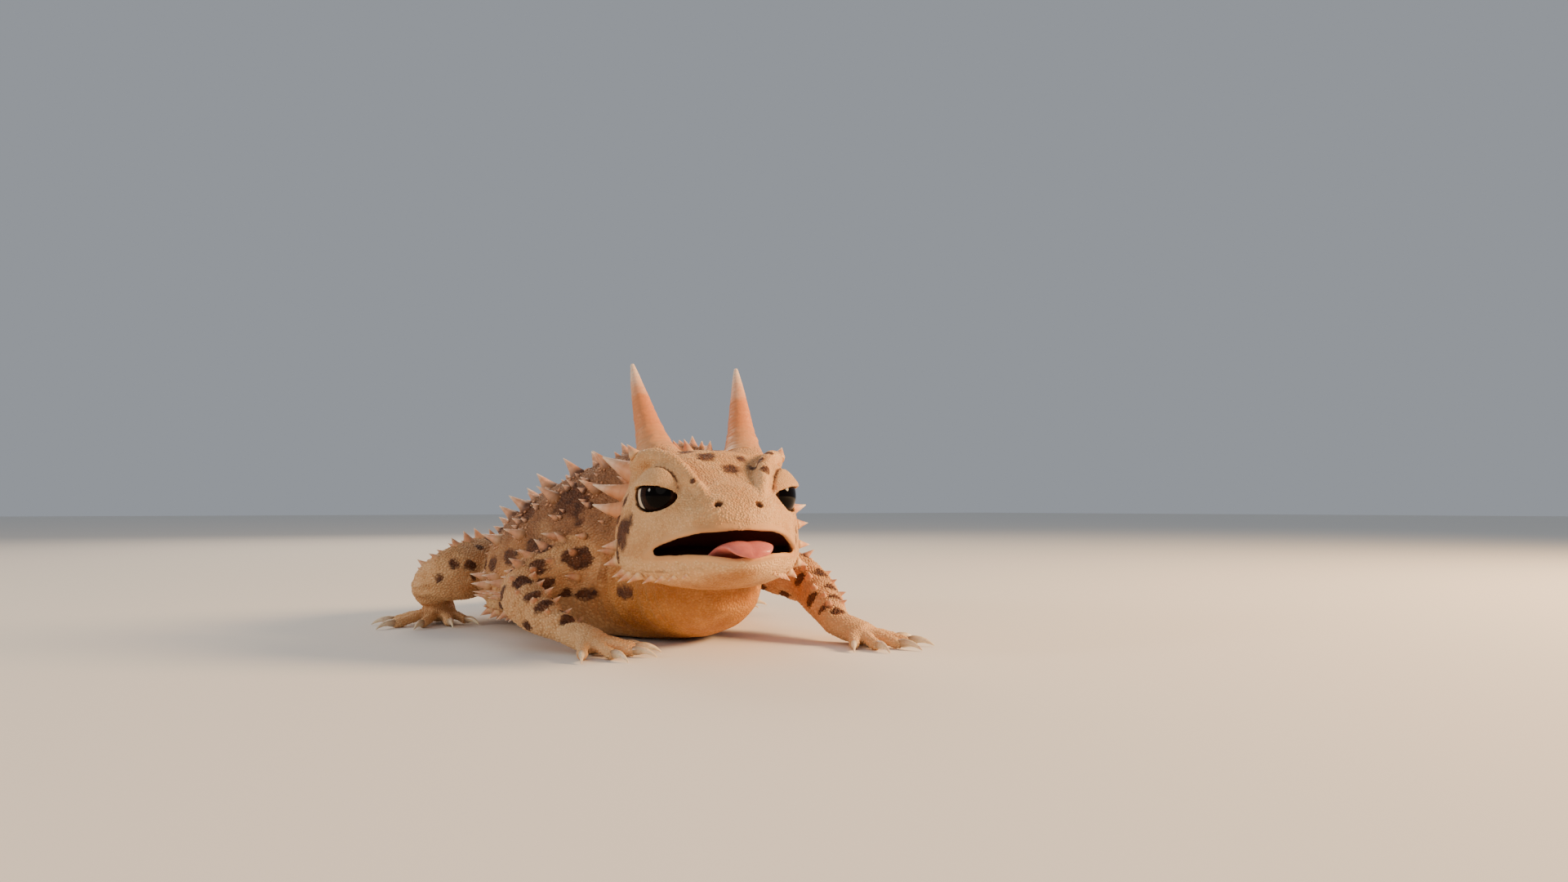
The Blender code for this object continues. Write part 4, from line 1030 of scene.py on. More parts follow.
def paint(field):
    """Each point's marks (blotch with painted shade in hollows and lid rims, mantle, warm throat partly of
    painted bounce light, inside of the mouth) and tones (pale, flushed).
    """
    points = field.points
    ragged = noise_at(points, 1.5, 21.0) * 0.20 + noise_at(points, 0.6, 33.0) * 0.08
    blotch = np.zeros(len(points))
    for centre, along, normal, long, wide in blotch_spots():
        away = points - np.array(centre)
        close = np.flatnonzero((away * away).sum(axis=1) < (1.6 * max(long, wide)) ** 2)
        along = (along - normal * along.dot(normal)).normalized()
        a = away[close] @ np.array(along) / long
        b = away[close] @ np.array(normal.cross(along)) / wide
        c = away[close] @ np.array(normal) / (2.2 * max(long, wide))
        distance = np.sqrt(a * a + b * b + c * c) + ragged[close]
        blotch[close] = np.maximum(blotch[close], 1 - smoothstep(0.88, 1.0, distance))
    trunk = ~field.limb & ~field.head
    rise = np.sin(np.radians(field.angle))
    patchy = noise_at(points, 4.0, 45.0)
    mantle = smoothstep(-0.10, 0.55, rise + 0.25 * patchy) * smoothstep(0.22, 0.36, field.share)
    mantle *= trunk * (0.85 - 0.45 * smoothstep(0.95, 1.2, field.share))
    off_middle = np.abs(points[:, 0] - column(TRUNK, 5, field.share)) + noise_at(points, 3.0, 41.0) * 0.6
    middle = (1 - smoothstep(0.7, 1.7, off_middle)) * trunk * (points[:, 2] > 8)
    mantle *= 1 - 0.8 * middle
    blotch *= 1 - 0.85 * middle
    limb_top = field.limb * smoothstep(0.4, 1.0, field.normals[:, 2]) * smoothstep(3.4, 1.0, field.t)
    mantle = np.maximum(mantle, 0.30 * limb_top * (patchy > -0.3))
    jaw = jaw_share(field.local)
    # The warm tan of chest and throat: partly their own colour, partly painted bounce light from below
    throat = trunk * smoothstep(0.46, 0.30, field.share) * smoothstep(0.40, -0.25, rise)
    throat = np.where(field.head, smoothstep(0.72, 1.0, jaw) * 0.9, throat)
    pale = np.where(field.head, smoothstep(-0.05, 0.15, jaw) * (1 - smoothstep(0.6, 0.9, jaw)), 0)
    pale = np.maximum(pale, field.limb * smoothstep(3.0, 4.2, field.t) * 0.9)
    pale = np.maximum(pale, (field.region == BELLY) * 0.6)
    pale = np.maximum(pale, (field.region == LID) * 0.65)
    pale = np.maximum(pale, np.where(field.head, 0.35, field.limb * 0.30))
    flush = np.zeros(len(points))
    for side in (LEFT, RIGHT):
        flush = np.maximum(flush, near(points, horn_station(side, 0.18)[0], 5.0) * 0.9)
        for root, *_ in TEMPLE_HORNS:
            flush = np.maximum(flush, near(points, head_place(on_side(side, root)), 3.0) * 0.5)
        distance = from_eye(points, side)[1]
        # Painted shade on the rim of the lids' opening, round the eye
        blotch = np.maximum(blotch, field.head * (distance < EYE_RADIUS + LID_MARGIN) * 0.9)
    # Painted shade inside the nostrils and ears
    blotch = np.maximum(blotch, field.painted_hollow_shade)
    marks = np.stack([blotch, mantle, throat, field.mouth], axis=1)
    return marks, np.stack([pale, flush, np.zeros(len(points)), np.ones(len(points))], axis=1)


# Materials

# The hide's colours, from its pale ground to the inside of the mouth. The throat's amber and tan are partly
# painted bounce light, and the mouth's dark red is deepened by painted shade.
BUFF, CREAM, PALE, FRECKLE = "cc945c", "e6b682", "e9be8b", "a36d38"
FLUSH, AMBER, TAN = "d8966f", "b87835", "d2954f"
FAWN, UMBER, BARK, COCOA, MOUTH_IN_SHADE = "946543", "71482f", "74482a", "4e2d19", "47180f"
# Growth rings drawn along a main horn
HORN_RINGS = 24
KERATIN_IOR = 1.54
# How much further red light spreads under the skin than green and blue
FLESH_GLOW = (1.0, 0.45, 0.28)


def linear(code):
    """A six-figure sRGB colour as linear red, green and blue with alpha."""
    made = []
    for k in (0, 2, 4):
        value = int(code[k:k + 2], 16) / 255
        made.append(value / 12.92 if value <= 0.04045 else ((value + 0.055) / 1.055) ** 2.4)
    return (*made, 1.0)


def in_use(sockets, key=""):
    """The first socket in use, or the one in use with a name, or the one with a number."""
    if isinstance(key, int):
        return sockets[key]
    return next(s for s in sockets if s.enabled and key in ("", s.name))


def link(tree, node, **sources):
    """Links from sockets or nodes to a node's inputs, by name with underscores, or by i and a number."""
    for key, source in sources.items():
        target = in_use(node.inputs, int(key[1:]) if key[1:].isdigit() else key.replace("_", " "))
        tree.links.new(source if isinstance(source, bpy.types.NodeSocket) else in_use(source.outputs), target)


def add(tree, kind, settings=None, **links):
    """One node with its settings, by the name of a property or input, and its links."""
    node = tree.nodes.new(kind)
    settings = dict(settings or {})
    for key in [key for key in settings if hasattr(node, str(key))]:
        setattr(node, key, settings.pop(key))
    for key, value in settings.items():
        in_use(node.inputs, key).default_value = value
    link(tree, node, **links)
    return node


def new_material(name, **values):
    """A Principled material with its constant values on the shader's own sockets."""
    made = bpy.data.materials.new(name)
    made.use_nodes = True
    shader = made.node_tree.nodes["Principled BSDF"]
    for key, value in values.items():
        shader.inputs[key.replace("_", " ")].default_value = value
    return made, made.node_tree, shader


def hide_colour(tree, place):
    """Pigment in dry keratin: warm cream to buff, flushed by the horns, a brown mantle and dark blotches,
    with painted shade in the hollows, lid rims and mouth, and a throat tan that is partly painted bounce
    light.
    """
    marks = add(tree, "ShaderNodeAttribute", {"attribute_name": "marks"})
    tones = add(tree, "ShaderNodeAttribute", {"attribute_name": "tones"})
    mark = add(tree, "ShaderNodeSeparateColor", Color=marks).outputs
    tone = add(tree, "ShaderNodeSeparateColor", Color=tones).outputs
    broad = add(tree, "ShaderNodeTexNoise", {"Scale": 1 / (5.0 * MM), "Detail": 3.0}, Vector=place)
    fine = add(
        tree, "ShaderNodeTexNoise", {"Scale": 1 / (1.3 * MM), "Detail": 4.0, "Roughness": 0.6}, Vector=place
    )
    freckle = add(
        tree, "ShaderNodeMapRange", {"From Min": 0.60, "From Max": 0.78, "To Max": 0.35}, Value=fine
    )
    drift, grain = [
        add(tree, "ShaderNodeMapRange", {"From Min": 0.35, "From Max": 0.65}, Value=cloud)
        for cloud in (broad, fine)
    ]
    # Each pigment wanders between two shades; the throat's tan is partly painted bounce light
    shades = ((BUFF, CREAM, drift), (AMBER, TAN, drift), (UMBER, FAWN, grain), (COCOA, BARK, grain))
    colour, throat_tan_and_bounce, brown, dark = [
        add(tree, "ShaderNodeMix", {"data_type": "RGBA", "A": linear(one), "B": linear(other)}, Factor=share)
        for one, other, share in shades
    ]
    for over, share in ((FRECKLE, freckle), (PALE, tone["Red"]), (FLUSH, tone["Green"])):
        colour = add(tree, "ShaderNodeMix", {"data_type": "RGBA", "B": linear(over)}, Factor=share, A=colour)
    for over, share in ((throat_tan_and_bounce, mark["Blue"]), (brown, mark["Green"]), (dark, mark["Red"])):
        colour = add(tree, "ShaderNodeMix", {"data_type": "RGBA"}, Factor=share, A=colour, B=over)
    # The inside of the mouth: dark red flesh, deepened by painted shade
    inside = marks.outputs["Alpha"]
    return add(tree, "ShaderNodeMix", {"data_type": "RGBA", "B": linear(MOUTH_IN_SHADE)}, Factor=inside, A=colour)


def skin_material():
    """Bare skin between the scales: thin, dry and matt, a shade deeper than they are."""
    made, tree, shader = new_material(
        "lizard_skin", Roughness=0.7, Specular_IOR_Level=0.3, Subsurface_Weight=0.10,
        Subsurface_Radius=FLESH_GLOW, Subsurface_Scale=0.8 * MM,
    )
    place = add(tree, "ShaderNodeTexCoord").outputs["Object"]
    colour = add(
        tree, "ShaderNodeMix",
        {"data_type": "RGBA", "blend_type": "MULTIPLY", "Factor": 0.4, "B": linear("cfae94")},
        A=hide_colour(tree, place),
    )
    cells = add(tree, "ShaderNodeTexVoronoi", {"Scale": 1 / (0.35 * MM)}, Vector=place)
    bump = add(tree, "ShaderNodeBump", {"Strength": 0.4, "Distance": 0.06 * MM, "invert": True}, Height=cells)
    link(tree, shader, Base_Color=colour, Normal=bump)
    return made


def scale_material():
    """Scales: smooth keratin domes, a little waxy on top, each of its own tint and darkened round its edge as
    painted shade between the scales.
    """
    made, tree, shader = new_material(
        "lizard_scales", Roughness=0.55, Specular_IOR_Level=0.38, Subsurface_Weight=0.10,
        Subsurface_Radius=FLESH_GLOW, Subsurface_Scale=0.8 * MM,
    )
    place = add(tree, "ShaderNodeTexCoord").outputs["Object"]
    tint = add(tree, "ShaderNodeAttribute", {"attribute_name": "tint"}).outputs["Fac"]
    crown = add(tree, "ShaderNodeAttribute", {"attribute_name": "crown"}).outputs["Fac"]
    cast = add(
        tree, "ShaderNodeMix", {"data_type": "RGBA", "A": linear("e9ddd0"), "B": linear("ffffff")},
        Factor=tint,
    )
    colour = add(
        tree, "ShaderNodeMix", {"data_type": "RGBA", "blend_type": "MULTIPLY", "Factor": 1.0},
        A=hide_colour(tree, place), B=cast,
    )
    # Painted shade round each scale's foot, where it meets the skin and its neighbours
    painted_edge_shade = add(tree, "ShaderNodeMapRange", {"From Max": 0.6, "To Min": 0.55, "To Max": 0.0}, Value=crown)
    colour = add(
        tree, "ShaderNodeMix", {"data_type": "RGBA", "blend_type": "MULTIPLY", "B": linear("bfa18a")},
        Factor=painted_edge_shade, A=colour,
    )
    wear = add(tree, "ShaderNodeTexNoise", {"Scale": 1 / (0.9 * MM), "Detail": 3.0}, Vector=place)
    rough = add(tree, "ShaderNodeMapRange", {"To Min": 0.42, "To Max": 0.72}, Value=wear)
    # Keratin's fibres are finer than this, and are drawn as coarse as they need to show
    fibre = add(tree, "ShaderNodeTexNoise", {"Scale": 1 / (0.12 * MM), "Detail": 2.0}, Vector=place)
    bump = add(tree, "ShaderNodeBump", {"Strength": 0.25, "Distance": 0.03 * MM}, Height=fibre)
    link(tree, shader, Base_Color=colour, Roughness=rough, Normal=bump)
    return made


def horn_material(name, root, middle, tip, rings, over_hide):
    """Horn: keratin grown in fine rings over bone, matt at its root, rubbed pale towards the tip."""
    made, tree, shader = new_material(
        name, Roughness=0.45, IOR=KERATIN_IOR, Specular_IOR_Level=0.4, Subsurface_Weight=0.15,
        Subsurface_Radius=(1.0, 0.5, 0.3), Subsurface_Scale=0.8 * MM,
    )
    place = add(tree, "ShaderNodeTexCoord").outputs["Object"]
    along = add(tree, "ShaderNodeAttribute", {"attribute_name": "along"}).outputs["Fac"]
    patchy = add(tree, "ShaderNodeTexNoise", {"Scale": 1 / (1.6 * MM), "Detail": 4.0}, Vector=place)
    shift = add(tree, "ShaderNodeMath", {"operation": "MULTIPLY_ADD", 1: 0.30, 2: -0.15}, i0=patchy)
    height = add(tree, "ShaderNodeMath", {"operation": "ADD"}, i0=along, i1=shift)
    low = add(tree, "ShaderNodeMapRange", {"From Min": 0.03, "From Max": 0.36}, Value=height)
    high = add(tree, "ShaderNodeMapRange", {"From Min": 0.58, "From Max": 1.0}, Value=height)
    colour = add(
        tree, "ShaderNodeMix", {"data_type": "RGBA", "A": linear(root), "B": linear(middle)}, Factor=low
    )
    if over_hide:
        link(tree, colour, A=hide_colour(tree, place))
    bent = add(tree, "ShaderNodeMath", {"operation": "MULTIPLY", 1: 9.0}, i0=patchy)
    wave = add(tree, "ShaderNodeMath", {"operation": "MULTIPLY_ADD", 1: rings * math.tau}, i0=along, i2=bent)
    ring = add(tree, "ShaderNodeMath", {"operation": "SINE"}, i0=wave)
    stain = add(tree, "ShaderNodeMapRange", {"From Min": 0.4, "From Max": -1.0, "To Max": 0.10}, Value=ring)
    for over, share in ((tip, high), ("8a4f30", stain)):
        colour = add(tree, "ShaderNodeMix", {"data_type": "RGBA", "B": linear(over)}, Factor=share, A=colour)
    pits = add(tree, "ShaderNodeTexVoronoi", {"Scale": 1 / (0.55 * MM)}, Vector=place)
    # Coarser than real fibres, so that they show
    fibre = add(
        tree, "ShaderNodeTexNoise", {"Scale": 1 / (0.3 * MM), "Detail": 4.0, "Roughness": 0.65}, Vector=place
    )
    relief = add(tree, "ShaderNodeMath", {"operation": "MULTIPLY_ADD", 1: 0.5}, i0=pits, i2=fibre)
    bump = add(tree, "ShaderNodeBump", {"Strength": 0.45, "Distance": 0.10 * MM}, Height=relief)
    link(tree, shader, Base_Color=colour, Normal=bump)
    return made


def claw_material():
    """Claw: translucent keratin, smooth from use, browner at its root and in cloudy streaks."""
    made, tree, shader = new_material(
        "claw_keratin", Roughness=0.3, IOR=KERATIN_IOR, Subsurface_Weight=0.2, Subsurface_Scale=0.6 * MM
    )
    place = add(tree, "ShaderNodeTexCoord").outputs["Object"]
    along = add(tree, "ShaderNodeAttribute", {"attribute_name": "along"}).outputs["Fac"]
    rise = add(tree, "ShaderNodeMapRange", {"From Max": 0.6}, Value=along)
    colour = add(
        tree, "ShaderNodeMix", {"data_type": "RGBA", "A": linear("96714e"), "B": linear("e6d2b0")},
        Factor=rise,
    )
    cloud = add(tree, "ShaderNodeTexNoise", {"Scale": 1 / (0.5 * MM), "Detail": 3.0}, Vector=place)
    streak = add(tree, "ShaderNodeMapRange", {"From Min": 0.52, "From Max": 0.75, "To Max": 0.6}, Value=cloud)
    colour = add(tree, "ShaderNodeMix", {"data_type": "RGBA", "B": linear("a9835a")}, Factor=streak, A=colour)
    link(tree, shader, Base_Color=colour)
    return made


def eye_material():
    """Eye: a wet cornea over a very dark brown iris with fine fibres, a pale crescent behind its rim, and
    painted shade where it goes under the lids.
    """
    made, tree, shader = new_material("wet_eye", Roughness=0.05, IOR=1.34, Specular_IOR_Level=0.15)
    out = add(tree, "ShaderNodeAttribute", {"attribute_name": "out"}).outputs["Fac"]
    spin = add(tree, "ShaderNodeAttribute", {"attribute_name": "spin"}).outputs["Vector"]
    inward = add(tree, "ShaderNodeAttribute", {"attribute_name": "inward"}).outputs["Fac"]
    # The spin's circle stands for the iris, 3.2 mm in radius, so a ninth of it is a fibre 0.36 mm wide
    fibre = add(tree, "ShaderNodeTexNoise", {"Scale": 9.0, "Detail": 4.0, "Roughness": 0.7}, Vector=spin)
    streak = add(tree, "ShaderNodeMapRange", {"From Min": 0.38, "From Max": 0.70}, Value=fibre)
    colour = add(
        tree, "ShaderNodeMix", {"data_type": "RGBA", "A": linear("170b06"), "B": linear("3b2112")},
        Factor=streak,
    )
    # Pupil, the iris's dark edge, the white of the eye and painted shade beyond it where it goes under the
    # lids, as shares of the iris's angle, and a band of painted shade along the lids' edge, by the distance
    # inwards from it in mm
    for read_from, start, end, over in (
        (out, 0.62, 0.57, "060302"), (out, 0.86, 0.95, "0d0604"), (out, 0.985, 1.02, "d9c5aa"),
        (out, 1.48, 1.58, "2a150b"), (inward, 0.42, 0.20, "180b06"),
    ):
        share = add(tree, "ShaderNodeMapRange", {"From Min": start, "From Max": end}, Value=read_from)
        colour = add(tree, "ShaderNodeMix", {"data_type": "RGBA", "B": linear(over)}, Factor=share, A=colour)
    link(tree, shader, Base_Color=colour)
    return made


def tongue_material():
    """Tongue: wet flesh, pink, with fine papillae that break up its shine."""
    made, tree, shader = new_material(
        "moist_tongue", Roughness=0.32, IOR=1.4, Subsurface_Weight=0.35,
        Subsurface_Radius=(1.0, 0.35, 0.25), Subsurface_Scale=1.2 * MM,
    )
    place = add(tree, "ShaderNodeTexCoord").outputs["Object"]
    cloud = add(tree, "ShaderNodeTexNoise", {"Scale": 1 / (1.2 * MM), "Detail": 3.0}, Vector=place)
    colour = add(
        tree, "ShaderNodeMix", {"data_type": "RGBA", "A": linear("dd8070"), "B": linear("c6645a")},
        Factor=cloud,
    )
    cells = add(tree, "ShaderNodeTexVoronoi", {"Scale": 1 / (0.28 * MM)}, Vector=place)
    bump = add(
        tree, "ShaderNodeBump", {"Strength": 0.35, "Distance": 0.07 * MM, "invert": True}, Height=cells
    )
    link(tree, shader, Base_Color=colour, Normal=bump)
    return made


# Scales

# Points tried on each square mm, before the spacing thins them
TRIED = 22.0
# How far a scale turns aside, in radians
WOBBLE = 0.25


def scale_shape(name, height, rear, keel, flat):
    """One scale of unit length: a low six-sided dome, drawn out and raised behind, with or without a keel."""
    base, middle = [], []
    for k in range(6):
        angle = math.tau * k / 6
        x, y = 0.5 * math.cos(angle), 0.5 * math.sin(angle)
        stretch = 1 + rear * max(math.cos(angle), 0)
        lift = height * (0.62 + rear * 0.8 * max(math.cos(angle), 0))
        base.append((x * stretch, y * (1 - 0.25 * rear), -0.14))
        middle.append((x * stretch * flat, y * (1 - 0.25 * rear) * flat, lift))
    points = base + middle + [(0.12 * rear, 0, height * (1 + keel))]
    faces = []
    for k in range(6):
        n = (k + 1) % 6
        faces.append((k, n, 6 + n, 6 + k))
        faces.append((6 + k, 6 + n, 12))
    made = new_object(name, points, faces)
    store(made.data, "leaf", "FLOAT_VECTOR", [(x * 0.8, y * 0.8, 0) for x, y, _ in points])
    store(made.data, "crown", "FLOAT", [0] * 6 + [0.6] * 6 + [1])
    made.data.shade_smooth()
    return made


def coat_tree():
    """Scales scattered evenly over one region of the skin, each turned to the lie and joined in one mesh."""
    tree = bpy.data.node_groups.new("scale_coat", "GeometryNodeTree")
    for label, kind in (
        ("Skin", "Geometry"), ("Region", "Int"), ("Spacing", "Float"), ("Size", "Float"),
        ("Variation", "Float"), ("Tilt", "Float"), ("Seed", "Int"), ("Scale", "Object"),
        ("Finish", "Material"),
    ):
        tree.interface.new_socket(label, in_out="INPUT", socket_type="NodeSocket" + kind)
    tree.interface.new_socket("Coat", in_out="OUTPUT", socket_type="NodeSocketGeometry")
    given = add(tree, "NodeGroupInput").outputs
    region, lie, leaf, home = [
        add(tree, "GeometryNodeInputNamedAttribute", {"data_type": kind, "Name": name})
        for name, kind in (
            ("region", "INT"), ("lie", "FLOAT_VECTOR"), ("leaf", "FLOAT_VECTOR"), ("unwrap", "FLOAT_VECTOR")
        )
    ]
    here = add(
        tree, "FunctionNodeCompare", {"data_type": "INT", "operation": "EQUAL"}, A=region, B=given["Region"]
    )
    spread = add(
        tree, "GeometryNodeDistributePointsOnFaces", {"distribute_method": "POISSON", "Density Max": TRIED},
        Mesh=given["Skin"], Selection=here, Distance_Min=given["Spacing"], Seed=given["Seed"],
    )
    shade = add(tree, "FunctionNodeRandomValue", {"data_type": "FLOAT"})
    points = add(
        tree, "GeometryNodeStoreNamedAttribute", {"data_type": "FLOAT", "Name": "tint"},
        Geometry=spread, Value=shade,
    )
    turn = add(
        tree, "FunctionNodeAxesToRotation", {"primary_axis": "Z", "secondary_axis": "X"},
        Primary_Axis=spread.outputs["Normal"], Secondary_Axis=lie,
    )
    wobble = add(
        tree, "FunctionNodeRandomValue", {"data_type": "FLOAT", "Min": -WOBBLE, "Max": WOBBLE, "Seed": 3}
    )
    angles = add(tree, "ShaderNodeCombineXYZ", Y=given["Tilt"], Z=wobble)
    tip = add(tree, "FunctionNodeEulerToRotation", Euler=angles)
    turned = add(
        tree, "FunctionNodeRotateRotation", {"rotation_space": "LOCAL"}, Rotation=turn, Rotate_By=tip
    )
    low, high = [
        add(tree, "ShaderNodeMath", {"operation": operation, 0: 1.0}, i1=given["Variation"])
        for operation in ("SUBTRACT", "ADD")
    ]
    size = add(tree, "FunctionNodeRandomValue", {"data_type": "FLOAT", "Seed": 7}, Min=low, Max=high)
    length = add(tree, "ShaderNodeMath", {"operation": "MULTIPLY"}, i0=size, i1=given["Size"])
    form = add(tree, "GeometryNodeObjectInfo", Object=given["Scale"])
    placed = add(
        tree, "GeometryNodeInstanceOnPoints", Points=points, Instance=form.outputs["Geometry"],
        Rotation=turned, Scale=length,
    )
    real = add(tree, "GeometryNodeRealizeInstances", Geometry=placed)
    patch = add(tree, "ShaderNodeVectorMath", {"operation": "SCALE", "Scale": BAKE_PATCH}, i0=leaf)
    flat = add(tree, "ShaderNodeVectorMath", {"operation": "ADD"}, i0=patch, i1=home)
    mapped = add(
        tree, "GeometryNodeStoreNamedAttribute",
        {"data_type": "FLOAT2", "domain": "CORNER", "Name": "OFBake"}, Geometry=real, Value=flat,
    )
    finish = add(tree, "GeometryNodeSetMaterial", Geometry=mapped, Material=given["Finish"])
    add(tree, "NodeGroupOutput", Coat=finish)
    return tree


KEPT_LAYERS = ("position", "OFBake", "marks", "tones", "tint", "crown")
# How far above the floor the scales under the body end
FLOOR_GAP = 0.01


def scale_coat(name, skin, tree, **values):
    """One region's scales as a plain mesh of its own."""
    made = bpy.data.objects.new(name, skin.data.copy())
    bpy.context.scene.collection.objects.link(made)
    change = made.modifiers.new("scales", "NODES")
    change.node_group = tree
    for item in tree.interface.items_tree:
        if item.in_out == "INPUT" and item.name in values:
            change[item.identifier] = values[item.name]
    apply_modifiers(made)
    mesh = made.data
    extra = [a.name for a in mesh.attributes if not (a.is_required or a.name in KEPT_LAYERS)]
    for layer in extra:
        if not layer.startswith("."):
            mesh.attributes.remove(mesh.attributes[layer])
    mesh.materials.clear()
    mesh.materials.append(values["Finish"])
    points = points_of(mesh)
    points[:, 2] = np.maximum(points[:, 2], FLOOR_GAP)
    move_points(mesh, points)
    return made


# Thorns


class Sower:
    """Gathers small forms that grow from the skin, with the skin's marks and place at each root."""

    def __init__(self, skin, field, layers, flat):
        self.tree = BVHTree.FromObject(skin, bpy.context.evaluated_depsgraph_get())
        self.corners = [p.vertices[0] for p in skin.data.polygons]
        self.field, self.skin_layers, self.flat = field, layers, flat
        self.clear()

    def clear(self):
        self.points, self.faces, self.along, self.tint, self.leaf, self.roots = [], [], [], [], [], []

    def root(self, point):
        """The skin's nearest point, its normal and the number of a point of the skin beside it."""
        spot, normal, face, _ = self.tree.find_nearest(point)
        return spot, normal, self.corners[face]

    def fits(self, point, lean, length):
        """Whether a thorn keeps off the limb or body beside it and off the floor."""
        tip = point + lean.normalized() * length
        return self.tree.find_nearest(tip)[3] > 0.45 * length and tip.z > 0.3

    def put(self, points, faces, along, leaf, corner, tint):
        start = len(self.points)
        self.points += points
        self.faces += [tuple(start + k for k in face) for face in faces]
        self.roots += [corner] * len(points)
        self.tint += [tint] * len(points)
        self.along += along
        self.leaf += leaf

    def finish(self, name, material):
        made = new_object(name, self.points, self.faces)
        mesh = made.data
        roots = np.array(self.roots)
        for layer, values in self.skin_layers.items():
            store(mesh, layer, "FLOAT_COLOR", values[roots])
        store(mesh, "along", "FLOAT", self.along)
        store(mesh, "tint", "FLOAT", self.tint)
        corners = read(mesh.loops, "vertex_index", 1, np.int32)
        spots = self.flat[roots] + np.array(self.leaf) * BAKE_PATCH
        store(mesh, "OFBake", "FLOAT2", spots[corners], "CORNER")
        mesh.materials.append(material)
        mesh.shade_smooth()
        self.clear()
        return made


# A thorn's place along it and width as a share of its radius
THORN_RINGS = (
    (-0.25, 1.22), (0.0, 1.12), (0.10, 0.98), (0.22, 0.82), (0.38, 0.64), (0.56, 0.46), (0.75, 0.28),
    (0.90, 0.13), (1.0, 0.03),
)
THORN_SIDES = 10
# How far a thorn's tip bends back and a pointed scale's tip rises, against their lengths
THORN_BEND, LEAF_RISE = 0.12, 0.35
# How deep a pointed scale's foot lies in the skin, in mm
LEAF_SINK = 0.15


def thorn(sower, draw, point, lean, length, radius, rosette):
    """A keeled, back-bent thorn with a spread foot, in a ring of small pointed scales."""
    spot, normal, corner = sower.root(point)
    lie = Vector(sower.field.lie[corner])
    lean = lean.normalized()
    side = lean.cross(Vector((0, 0, 1)) if abs(lean.z) < 0.9 else Vector((0, 1, 0))).normalized()
    keel = side.cross(lean)
    droop = (lie - lean * lie.dot(lean)) * length * THORN_BEND
    phase = draw.uniform(0, math.tau)
    points, along, leaf = [], [], []
    for share, width in THORN_RINGS:
        centre = spot + lean * (length * share) + droop * (share * abs(share))
        for k in range(THORN_SIDES):
            angle = math.tau * k / THORN_SIDES
            ridge = 1 + 0.09 * math.cos(5 * angle + phase) * (1 - max(share, 0))
            reach = radius * width * ridge * (1 + 0.08 * math.cos(2 * angle))
            points.append(centre + (side * math.cos(angle) + keel * math.sin(angle)) * reach)
            along.append(max(share, 0))
            spread = 0.42 * (1 - 0.8 * share)
            leaf.append((spread * math.cos(angle), spread * math.sin(angle)))
    n, faces = THORN_SIDES, [tuple(range(THORN_SIDES))[::-1]]
    for r in range(len(THORN_RINGS) - 1):
        for k in range(n):
            a, b = r * n + k, r * n + (k + 1) % n
            faces.append((a, b, b + n, a + n))
    last = (len(THORN_RINGS) - 1) * n
    faces.append(tuple(last + k for k in range(n)))
    sower.put(points, faces, along, leaf, corner, draw.random())
    across = normal.cross(Vector((0.3, 0.2, 0.93))).normalized()
    for k in range(rosette):
        angle = phase + math.tau * (k + draw.uniform(-0.15, 0.15)) / rosette
        out = (across * math.cos(angle) + normal.cross(across) * math.sin(angle)).normalized()
        size = radius * draw.uniform(0.45, 0.75)
        leaf_scale(sower, draw, spot + out * radius * 1.15, out, normal, size, corner)


def leaf_scale(sower, draw, root, out, normal, size, corner):
    """A small pointed scale that leans out along a direction, with a keel down its middle."""
    side = normal.cross(out).normalized()
    sink = normal * LEAF_SINK
    points = [
        root - out * (0.5 * size) - sink,
        root + side * (0.42 * size) - sink,
        root - side * (0.42 * size) - sink,
        root + out * size + normal * (LEAF_RISE * size),
        root + out * (0.15 * size) + normal * (0.40 * size),
        root + out * (0.35 * size) - sink,
    ]
    faces = [(0, 4, 1), (0, 2, 4), (1, 4, 3), (2, 3, 4), (1, 3, 5), (2, 5, 3), (0, 1, 5), (0, 5, 2)]
    along = [0, 0, 0, 0.7, 0.3, 0]
    leaf = [(-0.3, 0), (0, 0.3), (0, -0.3), (0.4, 0), (0.1, 0), (0.1, 0.1)]
    sower.put(points, faces, along, leaf, corner, draw.random())


